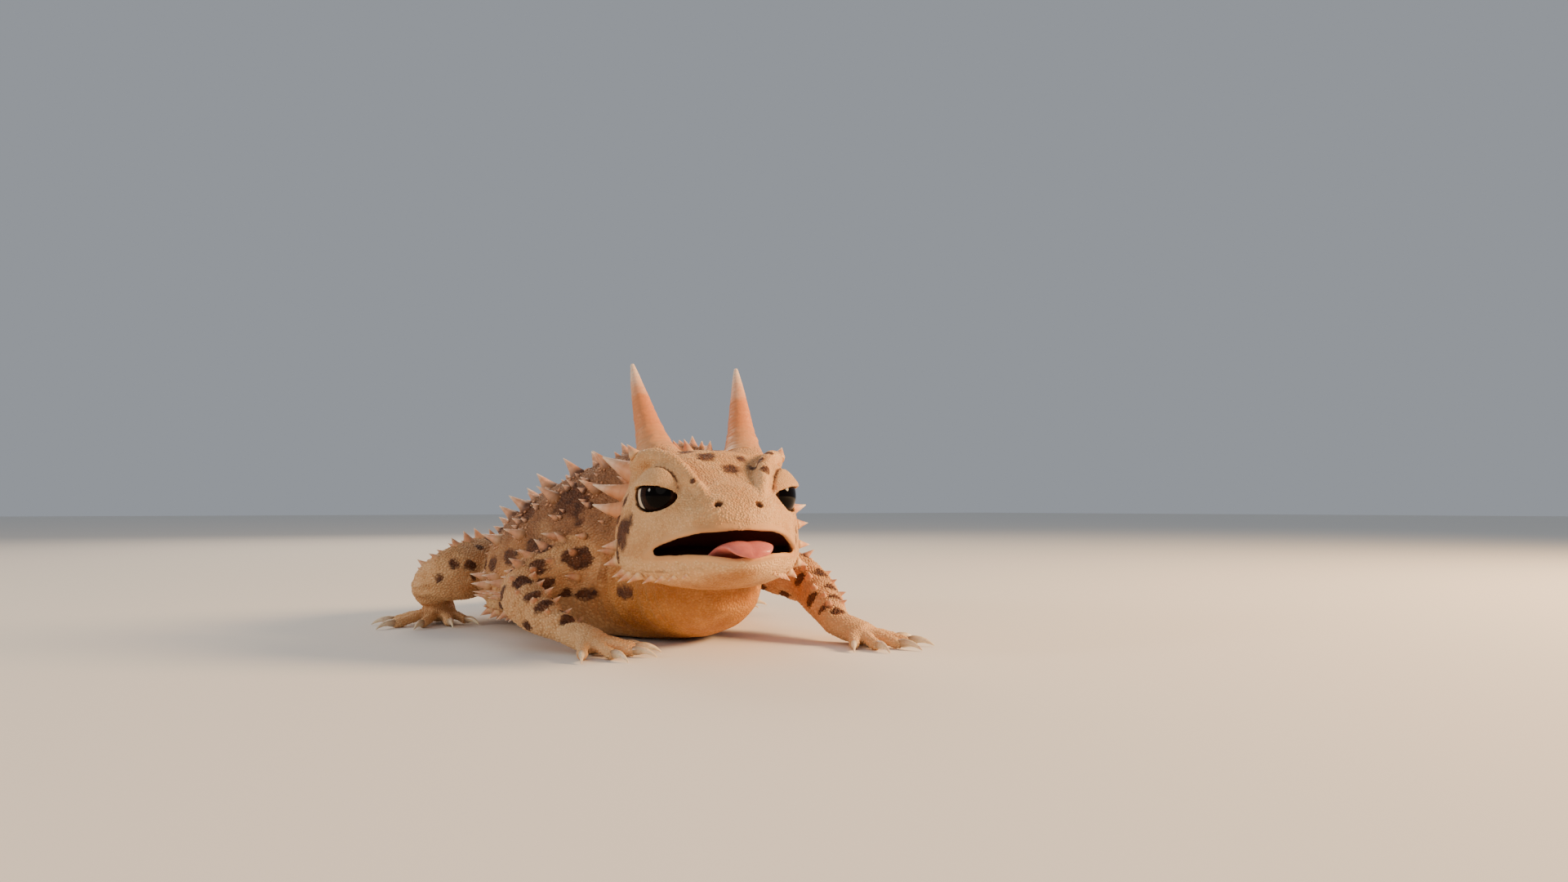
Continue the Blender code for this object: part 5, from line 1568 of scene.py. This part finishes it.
def trunk_rows(draw):
    """Roots, leans, lengths and radii of the thorns of neck, torso and tail that the solids also have."""
    found = []

    def row(start, end, count, degrees, length, radius, back=0.5, lift=0.0):
        """One row on each side, from share to share, at degrees up from the rim."""
        for k in range(count):
            t = k / max(count - 1, 1)
            swell = 0.72 + 0.28 * math.sin(math.pi * t)
            for mirrored in (degrees, 180 - degrees):
                share = start + (end - start) * t + draw.uniform(-0.006, 0.006)
                angle = math.radians(mirrored + draw.uniform(-2.5, 2.5))
                size = draw.uniform(0.88, 1.12) * swell
                lean = trunk_normal(share, angle) + Vector((0, back, lift))
                found.append((trunk_point(share, angle), lean, length * size, radius * size))

    # The crest's three rows and the flank's, the two of the fringe, the small ones between, neck and tail
    for course in (
        (0.385, 0.955, 7, 78, 4.8, 1.50), (0.420, 0.900, 6, 58, 5.0, 1.55), (0.400, 0.860, 6, 38, 4.6, 1.45),
        (0.430, 0.850, 5, 20, 4.2, 1.35), (0.400, 0.860, 13, 3, 3.3, 1.05, 0.35, 0.15),
        (0.440, 0.830, 9, -24, 2.6, 0.95, 0.35, 0.25), (0.440, 0.900, 4, 69, 2.2, 0.85),
        (0.470, 0.840, 4, 48, 2.2, 0.85), (0.450, 0.810, 4, 29, 2.0, 0.80), (0.285, 0.325, 2, 76, 2.6, 0.95),
        (0.285, 0.325, 2, 44, 4.0, 1.3), (0.285, 0.325, 2, 12, 4.0, 1.3),
        (1.015, 1.185, 5, 12, 3.2, 1.05, 0.45, 0.1), (1.010, 1.180, 4, 60, 3.0, 1.0),
        (1.250, 1.420, 5, 15, 1.9, 0.68, 0.45, 0.1), (1.260, 1.380, 3, 65, 1.6, 0.60),
    ):
        row(*course)
    return found


def leg_rows(draw):
    """The same for the thorns along each leg's front, top and rear."""
    found = []
    for leg in LEGS:
        side = LEFT if leg.endswith("left") else RIGHT
        outward, turn = Vector((side, 0, 0)), -side
        # From joint to joint, how many, degrees round the leg, length and radius
        plans = (
            (1.05, 1.85, 4, 90, 2.4, 0.90), (1.00, 1.80, 3, 90 + 52 * turn, 1.9, 0.75),
            (1.20, 1.80, 3, 90 - 52 * turn, 1.9, 0.75), (2.20, 3.75, 5, 90 + 28 * turn, 1.7, 0.65),
            (2.30, 3.60, 4, 90 - 38 * turn, 1.4, 0.58),
        )
        for start, end, count, degrees, length, radius in plans:
            for k in range(count):
                t = start + (end - start) * k / (count - 1)
                angle = math.radians(degrees + draw.uniform(-8, 8))
                root = leg_point(leg, t, angle)
                centre, _, _, forward, _, _ = leg_frame(leg, t)
                lean = (root - centre).normalized() + forward * 0.35 + outward * 0.2
                size = draw.uniform(0.85, 1.15)
                found.append((root, lean, length * size, radius * size))
    return found


def head_rows():
    """Thorns of the nape, brows, cheeks and lower jaw."""
    found = []

    def grow(place, lean, length, radius, sides=(LEFT, RIGHT)):
        for side in sides:
            root, way = head_place(on_side(side, place)), head_direction(on_side(side, lean))
            found.append((root, way, length, radius))

    # Nape, brow, three behind the cheek, two at the angle of the jaw, three on the far cheek alone and one
    # below them on each side
    for plan in (
        ((1.0, 1.5, 9.2), (-0.35, 0.25, 0.9), 2.6, 0.80),
        ((6.6, 10.6, 8.4), (-0.45, 0.45, 0.75), 2.4, 0.95),
        ((6.4, 12.9, -4.2), (-0.3, 0.95, -0.1), 2.6, 0.95),
        ((4.4, 12.3, -6.4), (-0.45, 0.85, -0.3), 2.8, 1.0),
        ((1.6, 10.9, -6.0), (-0.6, 0.75, -0.3), 2.8, 1.0),
        ((6.2, 12.2, -8.4), (-0.35, 0.85, -0.45), 2.6, 0.85),
        ((8.9, 12.0, -8.9), (-0.35, 0.80, -0.50), 2.5, 0.80),
        ((10.2, 12.9, -1.4), (-0.15, 0.98, 0.10), 2.2, 0.80, [LEFT]),
        ((10.6, 12.6, -4.2), (-0.15, 0.98, -0.05), 2.3, 0.85, [LEFT]),
        ((10.9, 12.2, -6.8), (-0.20, 0.93, -0.25), 2.3, 0.80, [LEFT]),
        ((11.4, 11.4, -9.2), (-0.30, 0.80, -0.50), 2.3, 0.72),
    ):
        grow(*plan)
    # Small ones along the jaw
    for k in range(4):
        place = 13.6 + 1.9 * k
        half, lip_line, _, chin = through(JAW, place)
        root = gaped((place, half * 0.88, lip_line + 0.72 * (chin - lip_line)))
        grow(root, (-0.25, 0.80, -0.50), 1.9 - 0.32 * k, 0.55 - 0.07 * k)
    return found


STRAY_THORNS = 230


def stray_thorns(draw):
    """Small thorns between the rows, on back and flanks."""
    found = []
    for _ in range(STRAY_THORNS):
        share = draw.uniform(0.30, 0.97)
        angle = math.radians(draw.uniform(8, 172))
        size = draw.uniform(0.7, 1.25)
        lean = trunk_normal(share, angle) + Vector((0, 0.7, 0))
        found.append((trunk_point(share, angle), lean, 1.25 * size, 0.55 * size))
    return found


def fringe(draw):
    """The two close rows of flat, pointed scales down each flank."""
    found = []
    # Degrees up from the rim, length and how many
    for degrees, length, count in ((-4, 2.0, 30), (-30, 1.3, 26)):
        for k in range(count):
            share = 0.40 + 0.46 * k / (count - 1) + draw.uniform(-0.004, 0.004)
            for mirrored in (degrees, 180 - degrees):
                angle = math.radians(mirrored + draw.uniform(-2, 2))
                lean = trunk_normal(share, angle) + Vector((0, 0.45, 0.2))
                found.append((trunk_point(share, angle), lean, length * draw.uniform(0.8, 1.2), 0.55))
    return found


# Separate pieces


def finished(obj, replaced=()):
    obj.data.transform(TO_FRAME)
    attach(obj, "root")
    if replaced:
        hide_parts(*replaced)


def tapered(name, stations, sides, material, ripple=None):
    """A round, tapered piece with a value along it for its colours."""
    made = bent_cone(name, stations, sides)
    along = np.repeat(np.linspace(0, 1, len(stations)), sides)
    if ripple:
        points = points_of(made.data)
        centres = np.repeat(np.array([tuple(c) for c, _ in stations]), sides, axis=0)
        move_points(made.data, centres + (points - centres) * ripple(along, points)[:, None])
    store(made.data, "along", "FLOAT", along)
    made.data.materials.append(material)
    made.data.shade_smooth()
    return made


def make_horn(side, material):
    """A main horn, finely ringed and a little uneven, from inside the skull to its tip."""
    stations = []
    for share in np.linspace(0.05, 1.0, HORN_STATIONS):
        centre, radius = horn_station(side, share)
        stations.append((centre, radius + horn_flare(share)))
    stations.append((horn_station(side, 1.006)[0], 0.12))

    def ripple(along, points):
        drift = noise_at(points, 2.5, 51.0)
        rings = np.sin(math.tau * HORN_RINGS * along + 4 * drift) * 0.007
        bumps = np.clip(noise_at(points, 1.1, 61.0), 0.1, 1) * 0.13 * (1 - along)
        return 1.06 + rings + bumps + drift * 0.04

    return tapered("horn_" + SIDE_NAMES[side], stations, HORN_SIDES, material, ripple)


# Place along a temple horn and width as a share of its radius
TEMPLE_TAPER = ((-0.45, 1.2), (0.0, 1.0), (0.1, 0.92), (0.3, 0.72), (0.5, 0.54), (0.75, 0.30), (1.0, 0.06))


def make_temple_horn(side, number, material):
    root, lean, length, radius, flare = TEMPLE_HORNS[number]
    root, lean = on_side(side, root), on_side(side, lean).normalized()
    rows = []
    for share, width in TEMPLE_TAPER:
        centre = head_place(root + lean * (length * share) + Vector((0, 0, 0.5 * share * share)))
        rows.append((share, *centre, radius * flare * width))

    def ripple(along, points):
        return 1 + np.sin(math.tau * 12 * along) * 0.008 + noise_at(points, 1.2, 71.0) * 0.07

    name = f"temple_horn_{SIDE_NAMES[side]}_{number + 1}"
    return tapered(name, smooth_stations(rows, TEMPLE_STATIONS), TEMPLE_SIDES, material, ripple)


# Place along a claw, height and radius in mm
CLAW = (
    (-0.22, 0.95, 0.62), (0.0, 1.02, 0.74), (0.3, 1.10, 0.60), (0.65, 0.86, 0.38), (0.85, 0.52, 0.22),
    (1.0, 0.16, 0.08),
)


def make_claws(leg, material):
    """The five hooked claws of one foot, flattened from side to side, in one piece."""
    claws = []
    for number in range(len(LEGS[leg]["toes"])):
        start, heading, length = toe_course(leg, number)
        size = CLAW_LENGTH * (0.8 + 0.03 * length)
        rows = []
        for share, height, radius in CLAW:
            spot = start + heading * (length + 0.3 + size * share)
            rows.append((share, spot.x, spot.y, height, radius))
        made = tapered("claw", smooth_stations(rows, CLAW_STATIONS), CLAW_SIDES, material)
        points = points_of(made.data)
        across = np.array(heading.cross(Vector((0, 0, 1))))
        middle = np.array(start) @ across
        points -= np.outer((points @ across - middle) * 0.22, across)
        points[:, 2] = np.maximum(points[:, 2], 0.02)
        move_points(made.data, points)
        claws.append(made)
    made = joined("claws_" + leg, claws)
    made.data.materials.append(material)
    made.data.shade_smooth()
    return made


# Along the tongue: places in the head's frame, half width and half thickness
TONGUE = (
    (0, 12.6, 0.0, -6.9, 3.8, 0.8), (1, 15.2, 0.1, -6.6, 4.0, 0.9), (2, 18.6, 0.4, -5.6, 3.9, 0.9),
    (3, 21.6, 0.6, -4.4, 3.7, 0.85), (4, 23.9, 0.8, -3.95, 3.3, 0.8), (5, 25.3, 0.9, -4.5, 2.6, 0.7),
    (6, 26.1, 0.95, -5.3, 1.4, 0.4),
)
GROOVE = 0.22


def make_tongue(material):
    """A flat tongue over the lower lip, with a groove down its middle and a round tip."""
    last = TONGUE[-1][0]
    rings = []
    for t in np.linspace(0, last, TONGUE_RINGS):
        u, v, w, half, thick = through(TONGUE, t)
        ahead, behind = through(TONGUE, min(t + 0.05, last)), through(TONGUE, max(t - 0.05, 0))
        forward = Vector((ahead[0] - behind[0], 0, ahead[2] - behind[2])).normalized()
        up = Vector((-forward.z, 0, forward.x))
        close = min(1.0, math.sqrt(max(6.02 - t, 0.0) / 0.55))
        ring = []
        for j in range(TONGUE_SIDES):
            angle = math.tau * j / TONGUE_SIDES
            groove = GROOVE * math.exp(-((math.cos(angle) / GROOVE) ** 2)) * (math.sin(angle) > 0)
            across = Vector((0, half * close * math.cos(angle), 0))
            rise = up * (thick * close * (math.sin(angle) - groove))
            ring.append(head_place(Vector((u, v, w)) + across + rise))
        rings.append(ring)
    made = loft("tongue", rings)
    made.data.materials.append(material)
    made.data.shade_smooth()
    return made


# How far the cornea stands out, against the eyeball's radius
CORNEA = 0.02


def make_eye(side, material):
    """An eyeball with a clear bulge over its iris, turned a little ahead in its lids."""
    made = ball(f"eye_{SIDE_NAMES[side]}_wet", eye_place(side), EYE_RADIUS, EYE_SIDES, EYE_RINGS)
    mesh = made.data
    mesh.materials.clear()
    centre = np.array(head_place(eye_place(side)))
    look, ahead, up = (np.array(v) for v in eye_axes(side))
    gaze = look * math.cos(GAZE_AHEAD) + ahead * math.sin(GAZE_AHEAD)
    away = points_of(mesh) - centre
    turn = np.arccos(np.clip(away @ gaze / np.linalg.norm(away, axis=1), -1, 1))
    move_points(mesh, centre + away * (1 + CORNEA * np.exp(-((turn / 0.7) ** 2)))[:, None])
    across, rise = away @ ahead, away @ up
    around = np.arctan2(rise, across)
    wide, above, below = EYE_OPENING
    front = np.clip(np.abs(across) / np.where(across > 0, CANTHUS * wide, wide), 0, 1)
    bow = 1 - front * front
    inward = np.where(rise > 0, above * bow**0.3 - rise, below * bow**0.42 + rise)
    # How far inside the lids' outline each point lies, for the painted shade along their edge
    store(mesh, "inward", "FLOAT", np.minimum(inward, (1 - front) * wide) + 0.1)
    store(mesh, "out", "FLOAT", turn / IRIS_EDGE)
    store(mesh, "spin", "FLOAT_VECTOR", np.stack([np.cos(around), np.sin(around), turn * 0.12], axis=1))
    mesh.materials.append(material)
    mesh.shade_smooth()
    return made


# Assembly

# The right eye is the same in the solids, so its place there carries millimetres over to the frame
low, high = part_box("eye_right")
EYE_IN_FRAME = (Vector(low) + Vector(high)) / 2
MIDDLE = head_place(eye_place(RIGHT)) - EYE_IN_FRAME / MM
TO_FRAME = Matrix.Scale(MM, 4) @ Matrix.Translation(-MIDDLE)

FLESH = ["neck", "torso", "tail_base", "tail_tip", "head", "lower_jaw"]
for leg in LEGS:
    kind, side = leg.split("_")
    FLESH += [f"{piece}_{side}" for piece in LEG_PIECES[kind]]

skin = make_skin()
field = Field(skin.data)
marks, tones = paint(field)
flat = field.unwrap()
store(skin.data, "marks", "FLOAT_COLOR", marks)
store(skin.data, "tones", "FLOAT_COLOR", tones)
store(skin.data, "region", "INT", field.region)
store(skin.data, "lie", "FLOAT_VECTOR", field.lie)
store(skin.data, "unwrap", "FLOAT_VECTOR", np.column_stack([flat, np.zeros(len(flat))]))

SCALE = scale_material()
THORN = horn_material("thorn_keratin", FLUSH, "d69a72", "eed3b6", 4, True)
HORN = horn_material("horn_keratin", "d49b69", "d98750", "f2d8bc", HORN_RINGS, False)
TEMPLE = horn_material("temple_keratin", "d09061", "dc9867", "f0d6ba", 7, False)
CLAW_FINISH = claw_material()

keeled = scale_shape("keeled_scale", 0.15, 0.40, 0.50, 0.70)
plate = scale_shape("head_plate", 0.085, 0.0, 0.06, 0.84)

coat = coat_tree()
# Name and region of each coat, its scales' spacing and size in mm, their variation, tilt and form
COATS = (
    ("scales_back", BACK, 0.46, 0.70, 0.22, -0.14, keeled),
    ("scales_rump", RUMP, 0.46, 0.70, 0.22, -0.14, keeled),
    ("scales_belly", BELLY, 0.62, 0.88, 0.10, -0.06, plate),
    ("scales_tail", TAIL, 0.48, 0.72, 0.15, -0.14, keeled),
    ("scales_forelegs", FORELEG, 0.40, 0.62, 0.14, -0.10, keeled),
    ("scales_hindlegs", HINDLEG, 0.41, 0.64, 0.14, -0.10, keeled),
    ("scales_feet", FOOT, 0.32, 0.49, 0.12, -0.08, keeled),
    ("scales_crown", CROWN, 0.32, 0.50, 0.24, -0.03, plate),
    ("scales_cheeks", CHEEK, 0.28, 0.44, 0.18, -0.03, plate),
    ("scales_throat", THROAT, 0.36, 0.55, 0.12, -0.06, plate),
    ("scales_lids", LID, 0.21, 0.33, 0.10, 0.0, plate),
)
pieces = []
for number, (name, region, spacing, size, variation, tilt, form) in enumerate(COATS):
    made = scale_coat(
        name, skin, coat, Region=region, Spacing=spacing, Size=size, Variation=variation, Tilt=tilt,
        Seed=number, Scale=form, Finish=SCALE,
    )
    pieces.append(made)

sower = Sower(skin, field, {"marks": marks, "tones": tones}, flat)
draw = random.Random(7)
# Each piece of thorns, and how many pointed scales stand round a thorn's foot
SOWN = (
    ("thorns_trunk", trunk_rows(draw), 9),
    ("thorns_legs", leg_rows(draw), 6),
    ("thorns_head", head_rows(), 0),
    ("thorns_small", stray_thorns(draw) + fringe(draw), 0),
)
for name, thorns, rosette in SOWN:
    for point, lean, length, radius in thorns:
        if name == "thorns_head" or sower.fits(point, lean, length):
            thorn(sower, draw, point, lean, length, radius, rosette)
    pieces.append(sower.finish(name, THORN))

for form in (keeled, plate):
    bpy.data.objects.remove(form)

# The skin keeps only what its material reads
skin.data.materials.append(skin_material())
for name in ("region", "lie", "unwrap"):
    skin.data.attributes.remove(skin.data.attributes[name])
finished(skin, FLESH)
for piece in pieces:
    finished(piece)
EYE = eye_material()
for side in (LEFT, RIGHT):
    name = SIDE_NAMES[side]
    finished(make_eye(side, EYE), ["eye_" + name])
    finished(make_horn(side, HORN), ["horn_" + name])
    for number in range(len(TEMPLE_HORNS)):
        finished(make_temple_horn(side, number, TEMPLE), [f"temple_horn_{name}_{number + 1}"])
finished(make_tongue(tongue_material()), ["tongue"])
for leg in LEGS:
    kind, side = leg.split("_")
    limb = "fore" if kind == "foreleg" else "hind"
    finished(make_claws(leg, CLAW_FINISH), [f"claw_{limb}_{side}_{k + 1}" for k in range(5)])


# Floor, light and camera

FLOOR_SIZE = 6.0
ROOM_STRENGTH = 0.42
# Where the lamps point, in metres
AIM = Vector((0, -0.02, 0.015))
# Each lamp's name, place and size in metres, power in watts and colour: one warm and low, the others faint
LAMPS = (
    ("key", (0.42, -0.34, 0.24), 0.16, 7.4, "ffd29c"),
    ("fill", (-0.45, -0.42, 0.30), 0.50, 0.7, "f6ebe0"),
    ("glint", (-0.52, 0.08, 0.19), 0.10, 0.8, "fff4e6"),
    ("rim", (0.10, 0.50, 0.38), 0.30, 1.4, "ffe6c8"),
)
# The photograph's view: turn and rise of the camera, its place beside the animal in mm, and its lens as the
# number of the picture's pixels that its focal length spans
VIEW_TURN, VIEW_RISE = math.radians(-33), math.radians(3.7)
VIEW_PLACE = Vector((-85.5, -189.1, 23.6))
SENSOR, FOCAL_PIXELS, PICTURE_PIXELS = 36, 1250, 1920


def studio():
    bpy.ops.mesh.primitive_plane_add(size=FLOOR_SIZE, location=(0, 0, 0))
    floor = bpy.context.object
    floor.name = "studio_floor"
    paper = new_material("pale_paper", Roughness=0.85, Base_Color=linear("e9e5de"))[0]
    floor.data.materials.append(paper)
    world = bpy.data.worlds.new("soft_room")
    world.use_nodes = True
    sky = world.node_tree.nodes["Background"].inputs
    sky["Color"].default_value = linear("dfe6f0")
    sky["Strength"].default_value = ROOM_STRENGTH
    bpy.context.scene.world = world
    for name, place, size, energy, colour in LAMPS:
        lamp = bpy.data.lights.new(name, "AREA")
        lamp.shape = "DISK"
        lamp.size = size
        lamp.energy = energy
        lamp.color = linear(colour)[:3]
        holder = bpy.data.objects.new(name, lamp)
        holder.location = place
        holder.rotation_euler = (AIM - Vector(place)).to_track_quat("-Z", "Y").to_euler()
        bpy.context.scene.collection.objects.link(holder)


def camera():
    """The photograph's view: low, from ahead and to the animal's right."""
    right = Vector((math.cos(VIEW_TURN), math.sin(VIEW_TURN), 0))
    level = Vector((-math.sin(VIEW_TURN), math.cos(VIEW_TURN), 0))
    look = level * math.cos(VIEW_RISE) + Vector((0, 0, 1)) * math.sin(VIEW_RISE)
    up = right.cross(look)
    lens = bpy.data.cameras.new("photo_view")
    lens.sensor_width = SENSOR
    lens.lens = SENSOR * FOCAL_PIXELS / PICTURE_PIXELS
    lens.clip_start = 0.005
    holder = bpy.data.objects.new("photo_view", lens)
    turn = Matrix((right, up, -look)).transposed().to_4x4()
    turn.translation = TO_FRAME @ VIEW_PLACE
    holder.matrix_world = turn
    bpy.context.scene.collection.objects.link(holder)
    bpy.context.scene.camera = holder


studio()
camera()
